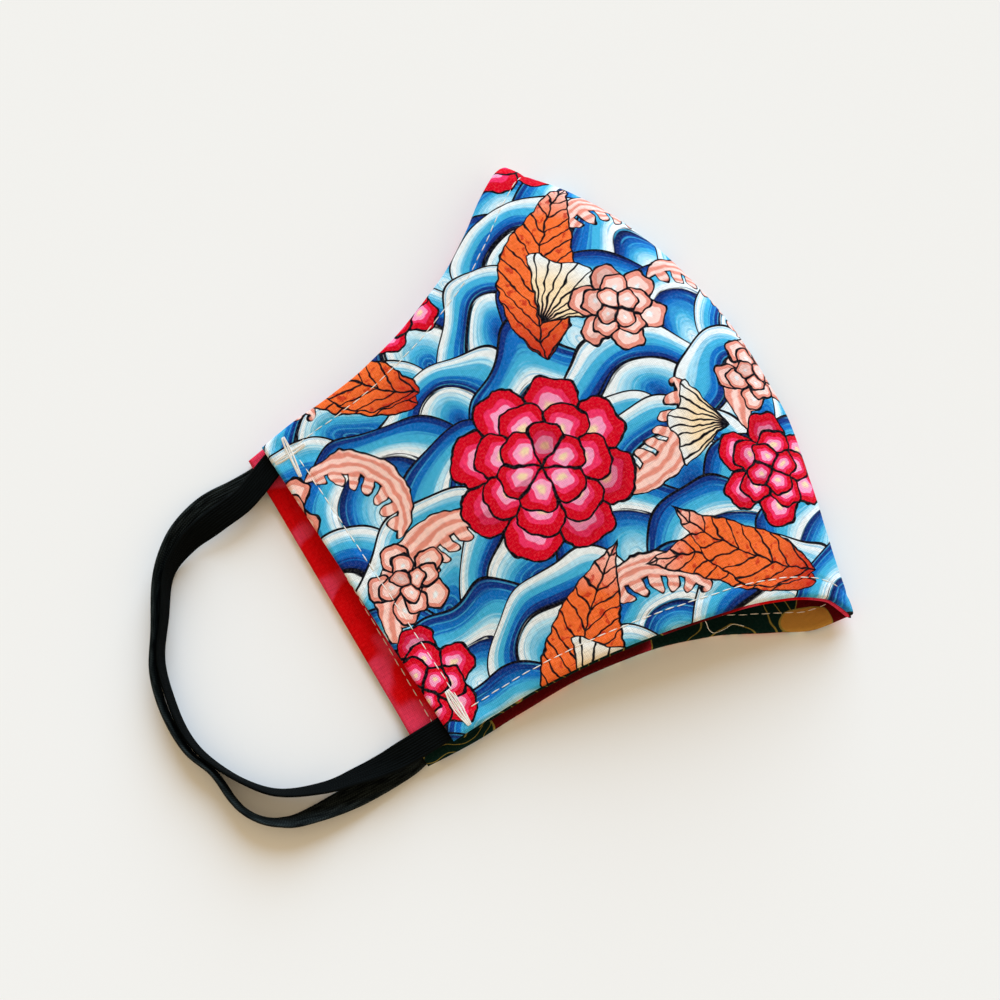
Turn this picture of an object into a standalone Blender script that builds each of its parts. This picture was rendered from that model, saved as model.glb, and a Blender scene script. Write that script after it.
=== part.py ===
"""Fitted cloth face mask, folded in half along its centre seam and lying on a table.

The wearer's left half lies underneath with its outer face down. The right half lies on
top of it, arched, with its outer face up. Each half has an outer cloth and a lining, and
a flat elastic ear loop whose ends are sewn in between the two at the ear corners.

Every panel is a slab in sewing coordinates: across runs from the ear edge (0) to the
centre seam (1), up runs from the chin edge (0) to the nose edge (1), and depth runs from
the outer face towards the wearer. The slab is then bent into its place.
"""

import math
from collections import namedtuple

import bmesh
import bpy
import numpy as np
from mathutils import Vector

MM = 0.001

# Cut of the mask, seen flat from the side
EAR_EDGE = 84.5 * MM          # straight edge in front of the ear
NOSE_REACH = 92.5 * MM        # ear edge to the nose point
NOSE_RISE = 33.0 * MM         # nose point above the upper ear corner
CHIN_REACH = 103.0 * MM       # ear edge to the chin point
CHIN_DROP = 22.5 * MM         # chin point below the lower ear corner
SEAM_FULLNESS = 20.8 * MM     # how far the centre seam swells past a straight line
NOSE_EDGE_DIP = 8.3 * MM      # hollow of the upper edge
CHIN_EDGE_RISE = 8.0 * MM     # hollow of the lower edge, left half
ARCHED_EDGE_RISE = 9.0 * MM   # the same on the right half, which its arch draws in
EAR_DRAW_NOSE = 4.5 * MM      # how far the arch draws the right ear edge in, upper corner
EAR_DRAW_CHIN = 8.0 * MM      # the same at the lower corner
CHIN_DRAW = 1.7 * MM          # how far the right half's lower ear corner is drawn up

# Cloth, elastic and how they lie
WALL = 1.0 * MM               # one layer of cloth
CLEAR = 0.3 * MM              # air between pieces that touch
BAND_WIDTH = 6.0 * MM         # flat elastic of the ear loops
BAND_THICK = 0.9 * MM
BAND_FLOOR_GAP = 0.1 * MM     # elastic above the table
SEAT_DEPTH = 8.0 * MM         # elastic sewn in behind the ear edge
SEAT_MARGIN_NOSE = 1.7 * MM   # upper ear corner to the side of the elastic
SEAT_MARGIN_CHIN = 0.6 * MM   # the same at the lower corner
SEAT_FADE = 5.0 * MM          # cloth closing behind the sewn end
LOOP_REACH = 46.0 * MM        # ear edge to the far side of the left loop
LOOP_SPACE = 1.4 * MM         # air from there to the right loop, which lies inside it
BULGE_HEIGHT = 8.2 * MM       # arch of the right half above its flat ear edge
SEAM_ROLL = 6.0 * MM          # width of the rounded fold beside the seam

# Faces in each panel and each stretch of loop
MIDDLE_ACROSS = 13
MIDDLE_UP = 13
BAND_STEPS = 3

RIGHT_REACH = LOOP_REACH - LOOP_SPACE - BAND_THICK
SEAT_INSET_NOSE = SEAT_MARGIN_NOSE + BAND_WIDTH / 2
SEAT_INSET_CHIN = SEAT_MARGIN_CHIN + BAND_WIDTH / 2
SEAT_GAP = BAND_THICK + 2 * CLEAR
HALF_STACK = 2 * WALL + SEAT_GAP
EAR_TOP = 2 * HALF_STACK + CLEAR      # top of the right half's flat ear edge
SEAM_HEIGHT = EAR_TOP / 2
MITRE = 1.4                           # length of a slanting cut over its wall
STEP = 1e-3                           # share used to measure a slope

# Where the seat of an elastic ends and the cloth has closed again, as shares of the way
# across and up
SEAT_ACROSS = (SEAT_DEPTH + CLEAR) / (NOSE_REACH - EAR_DRAW_NOSE)
FADE_ACROSS = SEAT_ACROSS + SEAT_FADE / NOSE_REACH
SEAT_INSET = max(SEAT_INSET_NOSE, SEAT_INSET_CHIN)
SEAT_UP = (SEAT_INSET + BAND_WIDTH / 2 + 2 * CLEAR) / (EAR_EDGE - CHIN_DRAW)
FADE_UP = SEAT_UP + SEAT_FADE / EAR_EDGE

OutlineRow = namedtuple("OutlineRow", "along offset")
ArchRow = namedtuple("ArchRow", "along height")
LoopRow = namedtuple("LoopRow", "out up turn")
Half = namedtuple("Half", "low_ear high_ear chin_rise chin_outline reach top")
BandPoint = namedtuple("BandPoint", "place normal")

# Centre seam, chin to nose: share of the way, share of SEAM_FULLNESS
SEAM_OUTLINE = (
    OutlineRow(along=0.00, offset=0.00),
    OutlineRow(along=0.09, offset=0.225),
    OutlineRow(along=0.22, offset=0.57),
    OutlineRow(along=0.36, offset=0.875),
    OutlineRow(along=0.54, offset=1.00),
    OutlineRow(along=0.66, offset=0.94),
    OutlineRow(along=0.80, offset=0.72),
    OutlineRow(along=0.89, offset=0.455),
    OutlineRow(along=0.965, offset=0.13),
    OutlineRow(along=1.00, offset=0.00),
)

# Upper edge, ear to nose: share of the way, share of NOSE_EDGE_DIP
NOSE_OUTLINE = (
    OutlineRow(along=0.00, offset=0.00),
    OutlineRow(along=0.10, offset=0.22),
    OutlineRow(along=0.20, offset=0.55),
    OutlineRow(along=0.32, offset=0.85),
    OutlineRow(along=0.47, offset=1.00),
    OutlineRow(along=0.62, offset=0.94),
    OutlineRow(along=0.76, offset=0.63),
    OutlineRow(along=0.87, offset=0.25),
    OutlineRow(along=0.94, offset=0.08),
    OutlineRow(along=1.00, offset=0.00),
)

# Lower edge of the left half, ear to chin: share of the way, share of CHIN_EDGE_RISE
CHIN_OUTLINE = (
    OutlineRow(along=0.00, offset=0.00),
    OutlineRow(along=0.10, offset=0.18),
    OutlineRow(along=0.24, offset=0.57),
    OutlineRow(along=0.40, offset=0.93),
    OutlineRow(along=0.54, offset=1.00),
    OutlineRow(along=0.68, offset=0.80),
    OutlineRow(along=0.82, offset=0.29),
    OutlineRow(along=0.92, offset=-0.04),
    OutlineRow(along=1.00, offset=0.00),
)

# The same on the arched right half: share of the way, share of ARCHED_EDGE_RISE
ARCHED_CHIN_OUTLINE = (
    OutlineRow(along=0.00, offset=0.00),
    OutlineRow(along=0.10, offset=0.29),
    OutlineRow(along=0.24, offset=0.64),
    OutlineRow(along=0.42, offset=0.90),
    OutlineRow(along=0.58, offset=0.99),
    OutlineRow(along=0.72, offset=1.00),
    OutlineRow(along=0.84, offset=0.88),
    OutlineRow(along=0.93, offset=0.60),
    OutlineRow(along=1.00, offset=0.00),
)

# Arch of the right half, ear to seam: share of the way, share of BULGE_HEIGHT
ARCH_ACROSS = (
    ArchRow(along=0.00, height=0.00),
    ArchRow(along=0.10, height=0.02),
    ArchRow(along=0.24, height=0.36),
    ArchRow(along=0.42, height=0.80),
    ArchRow(along=0.62, height=1.00),
    ArchRow(along=0.78, height=0.90),
    ArchRow(along=0.90, height=0.50),
    ArchRow(along=1.00, height=0.00),
)

# The same from the chin edge to the nose edge
ARCH_UP = (
    ArchRow(along=0.00, height=0.80),
    ArchRow(along=0.20, height=0.94),
    ArchRow(along=0.48, height=1.00),
    ArchRow(along=0.74, height=0.80),
    ArchRow(along=1.00, height=0.30),
)

# Ear loops from the upper corner round to the lower one: shares of the loop's reach out
# from the ear edge and of EAR_EDGE up it, and the turn from lying flat (0) to on edge (1)
RIGHT_ROUTE = (
    LoopRow(out=0.032, up=0.916, turn=0.00),
    LoopRow(out=0.147, up=0.898, turn=0.05),
    LoopRow(out=0.326, up=0.890, turn=0.25),
    LoopRow(out=0.505, up=0.877, turn=0.60),
    LoopRow(out=0.674, up=0.831, turn=0.92),
    LoopRow(out=0.805, up=0.732, turn=1.00),
    LoopRow(out=0.932, up=0.631, turn=1.00),
    LoopRow(out=0.989, up=0.508, turn=1.00),
    LoopRow(out=1.000, up=0.410, turn=1.00),
    LoopRow(out=0.961, up=0.325, turn=1.00),
    LoopRow(out=0.860, up=0.226, turn=1.00),
    LoopRow(out=0.726, up=0.150, turn=0.90),
    LoopRow(out=0.516, up=0.099, turn=0.75),
    LoopRow(out=0.337, up=0.079, turn=0.55),
    LoopRow(out=0.181, up=0.066, turn=0.30),
    LoopRow(out=0.023, up=0.062, turn=0.00),
)
LEFT_ROUTE = (
    LoopRow(out=0.14, up=0.944, turn=0.05),
    LoopRow(out=0.30, up=0.947, turn=0.20),
    LoopRow(out=0.465, up=0.925, turn=0.50),
    LoopRow(out=0.596, up=0.888, turn=0.80),
    LoopRow(out=0.715, up=0.824, turn=0.95),
    LoopRow(out=0.837, up=0.711, turn=1.00),
    LoopRow(out=0.943, up=0.611, turn=1.00),
    LoopRow(out=0.990, up=0.498, turn=1.00),
    LoopRow(out=0.985, up=0.379, turn=1.00),
    LoopRow(out=0.925, up=0.288, turn=1.00),
    LoopRow(out=0.908, up=0.207, turn=1.00),
    LoopRow(out=0.885, up=0.159, turn=1.00),
    LoopRow(out=0.833, up=0.115, turn=0.95),
    LoopRow(out=0.757, up=0.082, turn=0.85),
    LoopRow(out=0.646, up=0.058, turn=0.65),
    LoopRow(out=0.378, up=0.038, turn=0.25),
    LoopRow(out=0.109, up=0.035, turn=0.00),
)

LEFT_HALF = Half(
    low_ear=Vector((0, 0)),
    high_ear=Vector((0, EAR_EDGE)),
    chin_rise=CHIN_EDGE_RISE,
    chin_outline=CHIN_OUTLINE,
    reach=LOOP_REACH,
    top=False,
)
RIGHT_HALF = Half(
    low_ear=Vector((EAR_DRAW_CHIN, CHIN_DRAW)),
    high_ear=Vector((EAR_DRAW_NOSE, EAR_EDGE)),
    chin_rise=ARCHED_EDGE_RISE,
    chin_outline=ARCHED_CHIN_OUTLINE,
    reach=RIGHT_REACH,
    top=True,
)
NOSE = Vector((NOSE_REACH, EAR_EDGE + NOSE_RISE))
CHIN = Vector((CHIN_REACH, -CHIN_DROP))


def clear_scene():
    for obj in list(bpy.data.objects):
        bpy.data.objects.remove(obj, do_unlink=True)


def smooth_row(rows, share):
    """Value of a two-column table at a share, on a smooth curve that never overshoots."""
    places = [row[0] for row in rows]
    values = [row[1] for row in rows]
    slopes = [(values[i + 1] - values[i]) / (places[i + 1] - places[i])
              for i in range(len(rows) - 1)]
    tangents = [slopes[0]]
    for before, after in zip(slopes, slopes[1:]):
        level = before * after <= 0
        tangents.append(0.0 if level else 2 * before * after / (before + after))
    tangents.append(slopes[-1])
    share = min(max(share, places[0]), places[-1])
    i = min(int(np.searchsorted(places, share, side="right")) - 1, len(slopes) - 1)
    width = places[i + 1] - places[i]
    t = (share - places[i]) / width
    return ((2 * t ** 3 - 3 * t ** 2 + 1) * values[i]
            + (t ** 3 - 2 * t ** 2 + t) * width * tangents[i]
            + (3 * t ** 2 - 2 * t ** 3) * values[i + 1]
            + (t ** 3 - t ** 2) * width * tangents[i + 1])


def ease(share):
    """Rises smoothly from 0 to 1."""
    share = min(max(share, 0.0), 1.0)
    return share * share * (3 - 2 * share)


def side_of(start, end):
    """Unit vector to the right of the way from start to end."""
    way = (end - start).normalized()
    return Vector((way.y, -way.x))


def seam_line(up):
    bow = side_of(CHIN, NOSE) * SEAM_FULLNESS * smooth_row(SEAM_OUTLINE, up)
    return CHIN.lerp(NOSE, up) + bow


def nose_line(half, across):
    dip = side_of(half.high_ear, NOSE) * NOSE_EDGE_DIP * smooth_row(NOSE_OUTLINE, across)
    return half.high_ear.lerp(NOSE, across) + dip


def chin_line(half, across):
    rise = half.chin_rise * smooth_row(half.chin_outline, across)
    return half.low_ear.lerp(CHIN, across) + side_of(CHIN, half.low_ear) * rise


def plan(half, across, up):
    """Place on the table of a point of a half, filled in between its four edges."""
    between_edges = chin_line(half, across).lerp(nose_line(half, across), up)
    between_sides = half.low_ear.lerp(half.high_ear, up).lerp(seam_line(up), across)
    corners = half.low_ear.lerp(CHIN, across).lerp(half.high_ear.lerp(NOSE, across), up)
    return between_edges + between_sides - corners


def height(half, across, up):
    """Height of a half's outer face above the table."""
    from_seam = (1 - across) * CHIN_REACH / SEAM_ROLL
    roll = max(1 - from_seam, 0.0) ** 2
    if not half.top:
        return SEAM_HEIGHT * roll
    bulge = BULGE_HEIGHT * smooth_row(ARCH_ACROSS, across) * smooth_row(ARCH_UP, up)
    return EAR_TOP - (EAR_TOP - SEAM_HEIGHT) * roll + bulge


def face_point(half, across, up):
    return plan(half, across, up).to_3d() + Vector((0, 0, height(half, across, up)))


def inward(half, across, up):
    """Unit normal of a half's outer face, towards the wearer."""
    left, right = max(across - STEP, 0.0), min(across + STEP, 1.0)
    low, high = max(up - STEP, 0.0), min(up + STEP, 1.0)
    along_across = face_point(half, right, up) - face_point(half, left, up)
    along_up = face_point(half, across, high) - face_point(half, across, low)
    normal = along_across.cross(along_up).normalized()
    return -normal if half.top else normal


def layer_point(half, across, up, depth):
    """Point at a depth behind the outer face. The seam ends in a level mitred cut."""
    if across < 1:
        return face_point(half, across, up) + inward(half, across, up) * depth
    back = (plan(half, 1 - STEP, up) - plan(half, 1, up)).normalized()
    level = SEAM_HEIGHT + (CLEAR / 2 if half.top else -CLEAR / 2)
    place = plan(half, 1, up) + back * depth * MITRE
    return Vector((place.x, place.y, level))


def layer_gap(across, up):
    """Air between outer cloth and lining, opened where an elastic end is sewn in."""
    near_ear = 1 - ease((across - SEAT_ACROSS) / (FADE_ACROSS - SEAT_ACROSS))
    from_corner = min(up, 1 - up)
    near_corner = 1 - ease((from_corner - SEAT_UP) / (FADE_UP - SEAT_UP))
    return CLEAR + (SEAT_GAP - CLEAR) * near_ear * near_corner


def across_stations():
    roll = SEAM_ROLL / CHIN_REACH
    middle = np.linspace(FADE_ACROSS, 1 - roll, MIDDLE_ACROSS)
    return [0, SEAT_ACROSS / 2, SEAT_ACROSS, *middle, 1 - roll / 2, 1]


def up_stations():
    middle = np.linspace(FADE_UP, 1 - FADE_UP, MIDDLE_UP)
    return [0, SEAT_UP / 2, SEAT_UP, *middle, 1 - SEAT_UP, 1 - SEAT_UP / 2, 1]


def material(name, colour, roughness, sheen):
    finish = bpy.data.materials.new(name)
    finish.use_nodes = True
    shader = finish.node_tree.nodes["Principled BSDF"]
    shader.inputs["Base Color"].default_value = (*colour, 1)
    shader.inputs["Roughness"].default_value = roughness
    shader.inputs["Metallic"].default_value = 0.0
    shader.inputs["Sheen Weight"].default_value = sheen
    finish.diffuse_color = (*colour, 1)
    return finish


def new_object(name, bm, finish, mask):
    """Makes an object of a closed mesh, smooth apart from its sharp rims."""
    bmesh.ops.recalc_face_normals(bm, faces=bm.faces)
    mesh = bpy.data.meshes.new(name)
    bm.to_mesh(mesh)
    bm.free()
    mesh.shade_smooth()
    mesh.set_sharp_from_angle(angle=math.radians(40))
    mesh.materials.append(finish)
    obj = bpy.data.objects.new(name, mesh)
    bpy.context.collection.objects.link(obj)
    obj.parent = mask
    return obj


def unit_slab(bm, across_count, up_count):
    """Closed slab, one unit each way, cut into the given number of faces."""
    bmesh.ops.create_grid(bm, x_segments=across_count, y_segments=up_count, size=0.5)
    bmesh.ops.translate(bm, verts=bm.verts, vec=(0.5, 0.5, 0))
    top = bmesh.ops.extrude_face_region(bm, geom=bm.faces[:])
    moved = [part for part in top["geom"] if isinstance(part, bmesh.types.BMVert)]
    bmesh.ops.translate(bm, verts=moved, vec=(0, 0, 1))


def cloth_panel(name, half, lining, finish, mask):
    """One layer of one half, bent from a slab between two depths."""
    across_at = across_stations()
    up_at = up_stations()
    bm = bmesh.new()
    unit_slab(bm, len(across_at) - 1, len(up_at) - 1)
    for vert in bm.verts:
        across = float(across_at[round(vert.co.x * (len(across_at) - 1))])
        up = float(up_at[round(vert.co.y * (len(up_at) - 1))])
        start = WALL + layer_gap(across, up) if lining else 0.0
        vert.co = layer_point(half, across, up, start + vert.co.z * WALL)
    return new_object(name, bm, finish, mask)


def seat_points(half, up):
    """From the sewn end of an elastic to the mouth of its seat, between the two cloths."""
    depth = WALL + SEAT_GAP / 2
    sewn_in = SEAT_DEPTH / (plan(half, 1, up) - plan(half, 0, up)).length
    return [BandPoint(layer_point(half, across, up, depth), Vector((0, 0, 1)))
            for across in (sewn_in, sewn_in / 2, 0.0)]


def free_point(place, inside, turn, sewn_height):
    """Middle of an elastic where it lies free, turned between flat and on edge."""
    angle = turn * math.pi / 2
    standing = BAND_WIDTH / 2 * math.sin(angle) + BAND_THICK / 2 * math.cos(angle)
    on_edge = BAND_WIDTH / 2 + BAND_FLOOR_GAP
    sagging = sewn_height + (on_edge - sewn_height) * turn
    middle = max(sagging, standing + BAND_FLOOR_GAP)
    normal = inside.to_3d() * math.sin(angle) + Vector((0, 0, math.cos(angle)))
    return BandPoint(Vector((place.x, place.y, middle)), normal)


def route_points(half, rows):
    """Middle of an elastic and its normal from one sewn end round to the other."""
    start = seat_points(half, 1 - SEAT_INSET_NOSE / EAR_EDGE)
    end = seat_points(half, SEAT_INSET_CHIN / EAR_EDGE)[::-1]
    mouth = start[-1].place
    places = [Vector((-row.out * half.reach, row.up * EAR_EDGE)) for row in rows]
    befores = [mouth.to_2d()] + places[:-1]
    afters = places[1:] + [end[0].place.to_2d()]
    free = [
        free_point(place, -side_of(before, after), row.turn, mouth.z)
        for row, place, before, after in zip(rows, places, befores, afters)
    ]
    return start + free + end


def smooth_between(before, start, end, after, share):
    """Curve from start to end that also heeds the points on either side."""
    square, cube = share ** 2, share ** 3
    return 0.5 * (2 * start + (end - before) * share
                  + (2 * before - 5 * start + 4 * end - after) * square
                  + (3 * start - before - 3 * end + after) * cube)


def ear_loop(name, half, rows, finish, mask):
    """Flat elastic, as a four-cornered section run along its route."""
    points = route_points(half, rows)
    stations = []
    for i in range(len(points) - 1):
        four = [points[max(i - 1, 0)], points[i], points[i + 1],
                points[min(i + 2, len(points) - 1)]]
        for step in range(BAND_STEPS):
            share = step / BAND_STEPS
            place = smooth_between(*(p.place for p in four), share)
            normal = smooth_between(*(p.normal for p in four), share).normalized()
            stations.append(BandPoint(place, normal))
    stations.append(points[-1])

    bm = bmesh.new()
    rings = []
    for i, station in enumerate(stations):
        before = stations[max(i - 1, 0)].place
        after = stations[min(i + 1, len(stations) - 1)].place
        way = (after - before).normalized()
        side = way.cross(station.normal).normalized()
        up = side.cross(way)
        corners = ((1, 1), (-1, 1), (-1, -1), (1, -1))
        rings.append([
            bm.verts.new(station.place + side * a * BAND_WIDTH / 2 + up * b * BAND_THICK / 2)
            for a, b in corners
        ])
    edges = []
    for ring in rings:
        edges.append([bm.edges.new((ring[i], ring[(i + 1) % 4])) for i in range(4)])
    for first, second in zip(edges, edges[1:]):
        bmesh.ops.bridge_loops(bm, edges=first + second)
    bm.faces.new(rings[0])
    bm.faces.new(rings[-1])
    return new_object(name, bm, finish, mask)


def centre_on_table(mask, objects):
    """Moves the whole mask so that the origin is at the bottom centre of its box."""
    corners = [vert.co for obj in objects for vert in obj.data.vertices]
    lowest = [min(corner[axis] for corner in corners) for axis in range(3)]
    highest = [max(corner[axis] for corner in corners) for axis in range(3)]
    mask.location = (-(lowest[0] + highest[0]) / 2, -(lowest[1] + highest[1]) / 2, -lowest[2])


def main():
    clear_scene()
    mask = bpy.data.objects.new("mask", None)
    bpy.context.collection.objects.link(mask)
    print_cloth = {"colour": (0.05, 0.24, 0.52), "roughness": 0.85, "sheen": 0.2}
    lining_cloth = {"colour": (0.50, 0.01, 0.02), "roughness": 0.85, "sheen": 0.2}
    elastic = {"colour": (0.004, 0.006, 0.006), "roughness": 0.6, "sheen": 0.3}
    objects = [
        cloth_panel("left_outer_panel", LEFT_HALF, False,
                    material("left_outer_cotton", **print_cloth), mask),
        cloth_panel("left_lining_panel", LEFT_HALF, True,
                    material("left_lining_cotton", **lining_cloth), mask),
        cloth_panel("right_lining_panel", RIGHT_HALF, True,
                    material("right_lining_cotton", **lining_cloth), mask),
        cloth_panel("right_outer_panel", RIGHT_HALF, False,
                    material("right_outer_cotton", **print_cloth), mask),
        ear_loop("left_ear_loop", LEFT_HALF, LEFT_ROUTE,
                 material("left_loop_elastic", **elastic), mask),
        ear_loop("right_ear_loop", RIGHT_HALF, RIGHT_ROUTE,
                 material("right_loop_elastic", **elastic), mask),
    ]
    centre_on_table(mask, objects)


main()
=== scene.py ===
"""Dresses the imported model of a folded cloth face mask.

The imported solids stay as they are. Fine cloth, ribbed elastic and stitches stand in their
places. Lengths are in metres, written as millimetres times MM. Places of tacks, of the
loose thread and of printed motifs are in plain millimetres.
"""
import math
from collections import namedtuple

import bmesh
import bpy
import numpy as np
from mathutils import Matrix, Vector


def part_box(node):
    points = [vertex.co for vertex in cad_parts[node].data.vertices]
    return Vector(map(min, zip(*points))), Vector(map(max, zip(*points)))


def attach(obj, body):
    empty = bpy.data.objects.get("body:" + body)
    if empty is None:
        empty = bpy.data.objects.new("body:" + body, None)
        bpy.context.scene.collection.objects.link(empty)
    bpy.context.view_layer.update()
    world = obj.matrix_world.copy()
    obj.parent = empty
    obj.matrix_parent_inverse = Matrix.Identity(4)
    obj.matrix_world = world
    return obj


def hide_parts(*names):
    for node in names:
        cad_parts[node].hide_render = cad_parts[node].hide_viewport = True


bl_info = {
    "name": "Folded cloth face mask",
    "version": (1, 0, 0),
    "blender": (4, 5, 0),
    "location": "View3D > Sidebar > Mask",
    "description": "Cloth, elastic, stitches and a plain stage around the packed face mask",
    "category": "Object",
}

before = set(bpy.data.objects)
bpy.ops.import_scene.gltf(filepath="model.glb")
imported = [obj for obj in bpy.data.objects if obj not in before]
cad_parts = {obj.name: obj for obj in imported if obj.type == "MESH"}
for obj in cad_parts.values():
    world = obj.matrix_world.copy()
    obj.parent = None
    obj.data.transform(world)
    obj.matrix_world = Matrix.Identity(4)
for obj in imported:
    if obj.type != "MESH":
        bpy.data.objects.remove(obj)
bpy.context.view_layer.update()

MM = 0.001
BODY = "root"

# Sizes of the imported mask, which this script follows
EAR_EDGE = 84.5 * MM
NOSE_REACH = 92.5 * MM
NOSE_RISE = 33.0 * MM
CHIN_REACH = 103.0 * MM
CHIN_DROP = 22.5 * MM
SEAM_FULLNESS = 20.8 * MM
NOSE_EDGE_DIP = 8.3 * MM
CHIN_EDGE_RISE = 8.0 * MM
ARCHED_EDGE_RISE = 9.0 * MM
EAR_DRAW_NOSE = 4.5 * MM
EAR_DRAW_CHIN = 8.0 * MM
CHIN_DRAW = 1.7 * MM
WALL = 1.0 * MM
CLEAR = 0.3 * MM
BAND_WIDTH = 6.0 * MM
BAND_THICK = 0.9 * MM
BAND_FLOOR_GAP = 0.1 * MM
SEAT_DEPTH = 8.0 * MM
SEAT_INSET_NOSE = 4.7 * MM
SEAT_INSET_CHIN = 3.6 * MM
SEAT_FADE = 5.0 * MM
LEFT_REACH = 46.0 * MM
RIGHT_REACH = 43.7 * MM
BULGE_HEIGHT = 8.2 * MM
SEAM_ROLL = 6.0 * MM
SEAT_GAP = BAND_THICK + 2 * CLEAR
HALF_STACK = 2 * WALL + SEAT_GAP
EAR_TOP = 2 * HALF_STACK + CLEAR
SEAM_HEIGHT = EAR_TOP / 2
SEAT_ACROSS = (SEAT_DEPTH + CLEAR) / (NOSE_REACH - EAR_DRAW_NOSE)
FADE_ACROSS = SEAT_ACROSS + SEAT_FADE / NOSE_REACH
SEAT_UP = (SEAT_INSET_NOSE + BAND_WIDTH / 2 + 2 * CLEAR) / (EAR_EDGE - CHIN_DRAW)
FADE_UP = SEAT_UP + SEAT_FADE / EAR_EDGE
SLOPE_STEP = 1e-3

# The lower ear corner of the left half, where the sewing measures start
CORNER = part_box("left_outer_panel")[0] + Vector((0, CHIN_DROP, 0))

# Share of the way, share of the named size
SEAM_OUTLINE = ((0, 0), (0.09, 0.225), (0.22, 0.57), (0.36, 0.875), (0.54, 1), (0.66, 0.94),
                (0.80, 0.72), (0.89, 0.455), (0.965, 0.13), (1, 0))
NOSE_OUTLINE = ((0, 0), (0.10, 0.22), (0.20, 0.55), (0.32, 0.85), (0.47, 1), (0.62, 0.94),
                (0.76, 0.63), (0.87, 0.25), (0.94, 0.08), (1, 0))
CHIN_OUTLINE = ((0, 0), (0.10, 0.18), (0.24, 0.57), (0.40, 0.93), (0.54, 1), (0.68, 0.80),
                (0.82, 0.29), (0.92, -0.04), (1, 0))
ARCHED_CHIN_OUTLINE = ((0, 0), (0.10, 0.29), (0.24, 0.64), (0.42, 0.90), (0.58, 0.99),
                       (0.72, 1), (0.84, 0.88), (0.93, 0.60), (1, 0))
ARCH_ACROSS = ((0, 0), (0.10, 0.02), (0.24, 0.36), (0.42, 0.80), (0.62, 1), (0.78, 0.90),
               (0.90, 0.50), (1, 0))
ARCH_UP = ((0, 0.80), (0.20, 0.94), (0.48, 1), (0.74, 0.80), (1, 0.30))

# Ear loops: share of the reach out, share of the ear edge up, turn from flat to on edge
RIGHT_ROUTE = ((0.032, 0.916, 0.00), (0.147, 0.898, 0.05), (0.326, 0.890, 0.25),
               (0.505, 0.877, 0.60), (0.674, 0.831, 0.92), (0.805, 0.732, 1.00),
               (0.932, 0.631, 1.00), (0.989, 0.508, 1.00), (1.000, 0.410, 1.00),
               (0.961, 0.325, 1.00), (0.860, 0.226, 1.00), (0.726, 0.150, 0.90),
               (0.516, 0.099, 0.75), (0.337, 0.079, 0.55), (0.181, 0.066, 0.30),
               (0.023, 0.062, 0.00))
LEFT_ROUTE = ((0.140, 0.944, 0.05), (0.300, 0.947, 0.20), (0.465, 0.925, 0.50),
              (0.596, 0.888, 0.80), (0.715, 0.824, 0.95), (0.837, 0.711, 1.00),
              (0.943, 0.611, 1.00), (0.990, 0.498, 1.00), (0.985, 0.379, 1.00),
              (0.925, 0.288, 1.00), (0.908, 0.207, 1.00), (0.885, 0.159, 1.00),
              (0.833, 0.115, 0.95), (0.757, 0.082, 0.85), (0.646, 0.058, 0.65),
              (0.378, 0.038, 0.25), (0.109, 0.035, 0.00))

Half = namedtuple("Half", "side low_ear high_ear chin_rise chin_outline reach route top")
Spot = namedtuple("Spot", "ear seam chin nose")

NOSE = np.array((NOSE_REACH, EAR_EDGE + NOSE_RISE))
CHIN = np.array((CHIN_REACH, -CHIN_DROP))
LEFT = Half("left", np.array((0.0, 0.0)), np.array((0.0, EAR_EDGE)), CHIN_EDGE_RISE,
            CHIN_OUTLINE, LEFT_REACH, LEFT_ROUTE, False)
RIGHT = Half("right", np.array((EAR_DRAW_CHIN, CHIN_DRAW)),
             np.array((EAR_DRAW_NOSE, EAR_EDGE)), ARCHED_EDGE_RISE, ARCHED_CHIN_OUTLINE,
             RIGHT_REACH, RIGHT_ROUTE, True)
HALVES = (LEFT, RIGHT)

# An uncut end of thread, from the upper half's chin edge down to the lining of the lower
LOOSE_THREAD = ((70.2, -3.6, 12.2), (70.9, -5.6, 11.0), (71.5, -7.6, 6.2), (72.6, -8.9, 3.9),
                (75.0, -9.4, 3.8), (77.4, -9.5, 3.9), (79.4, -11.2, 3.8))

# Steps of the cloth mesh in from a rim, and how many faces lie between them
RIM_STEPS = np.array((0, 0.07, 0.2, 0.38, 0.6, 0.9, 1.3, 1.8, 2.4, 3.0, 3.6, 4.1, 4.5, 4.9,
                      5.3, 5.7, 6.1, 6.6, 7.2, 8.0)) * MM
MIDDLE_ACROSS = 84
MIDDLE_UP = 96
PATTERN_SPAN = 200 * MM          # cloth that one unit of the pattern map covers
PATTERN_START = np.array((-40 * MM, -40 * MM))
LEFT_PATTERN_SHIFT = np.array((120 * MM, 0))    # so that the two halves differ in print
SEAM_AIR = 0.02 * MM             # kept between a half and the level of the seam
LOOP_STEPS = 10                  # faces of an elastic between two places of its route
STRAND_STEPS = 6                 # faces of a strand between two of its places
STRAND_SIDES = 6
FLOOR_GAP = 0.1 * MM

# Where each line of stitches starts and ends, as shares of its edge
STITCHED = {"ear": (0.05, 0.93), "nose": (0.07, 0.985), "chin": (0.07, 0.975)}

# The two places on each half where an elastic end is tacked down
TACK_MIDDLES = ((9.7, 78.7), (12.8, 7.5))
# Tacks on each outer cloth: from, to, strands of thread, width
TACKS = (((10.1, 83.8), (8.9, 73.2), 5, 1.3), ((5.4, 79.2), (13.8, 79.4), 5, 1.3),
         ((12.5, 12.2), (13.0, 2.9), 9, 2.1))
# A strand of a tack: share of the way, share of its offset, how proud it stands in radii
TACK_STRAND = ((0, 0.4, -1.5), (0.05, 0.55, 0.3), (0.3, 1, 0.8), (0.6, 0.85, 0.8),
               (0.95, 0.35, 0.3), (1, 0.2, -1.5))

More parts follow.
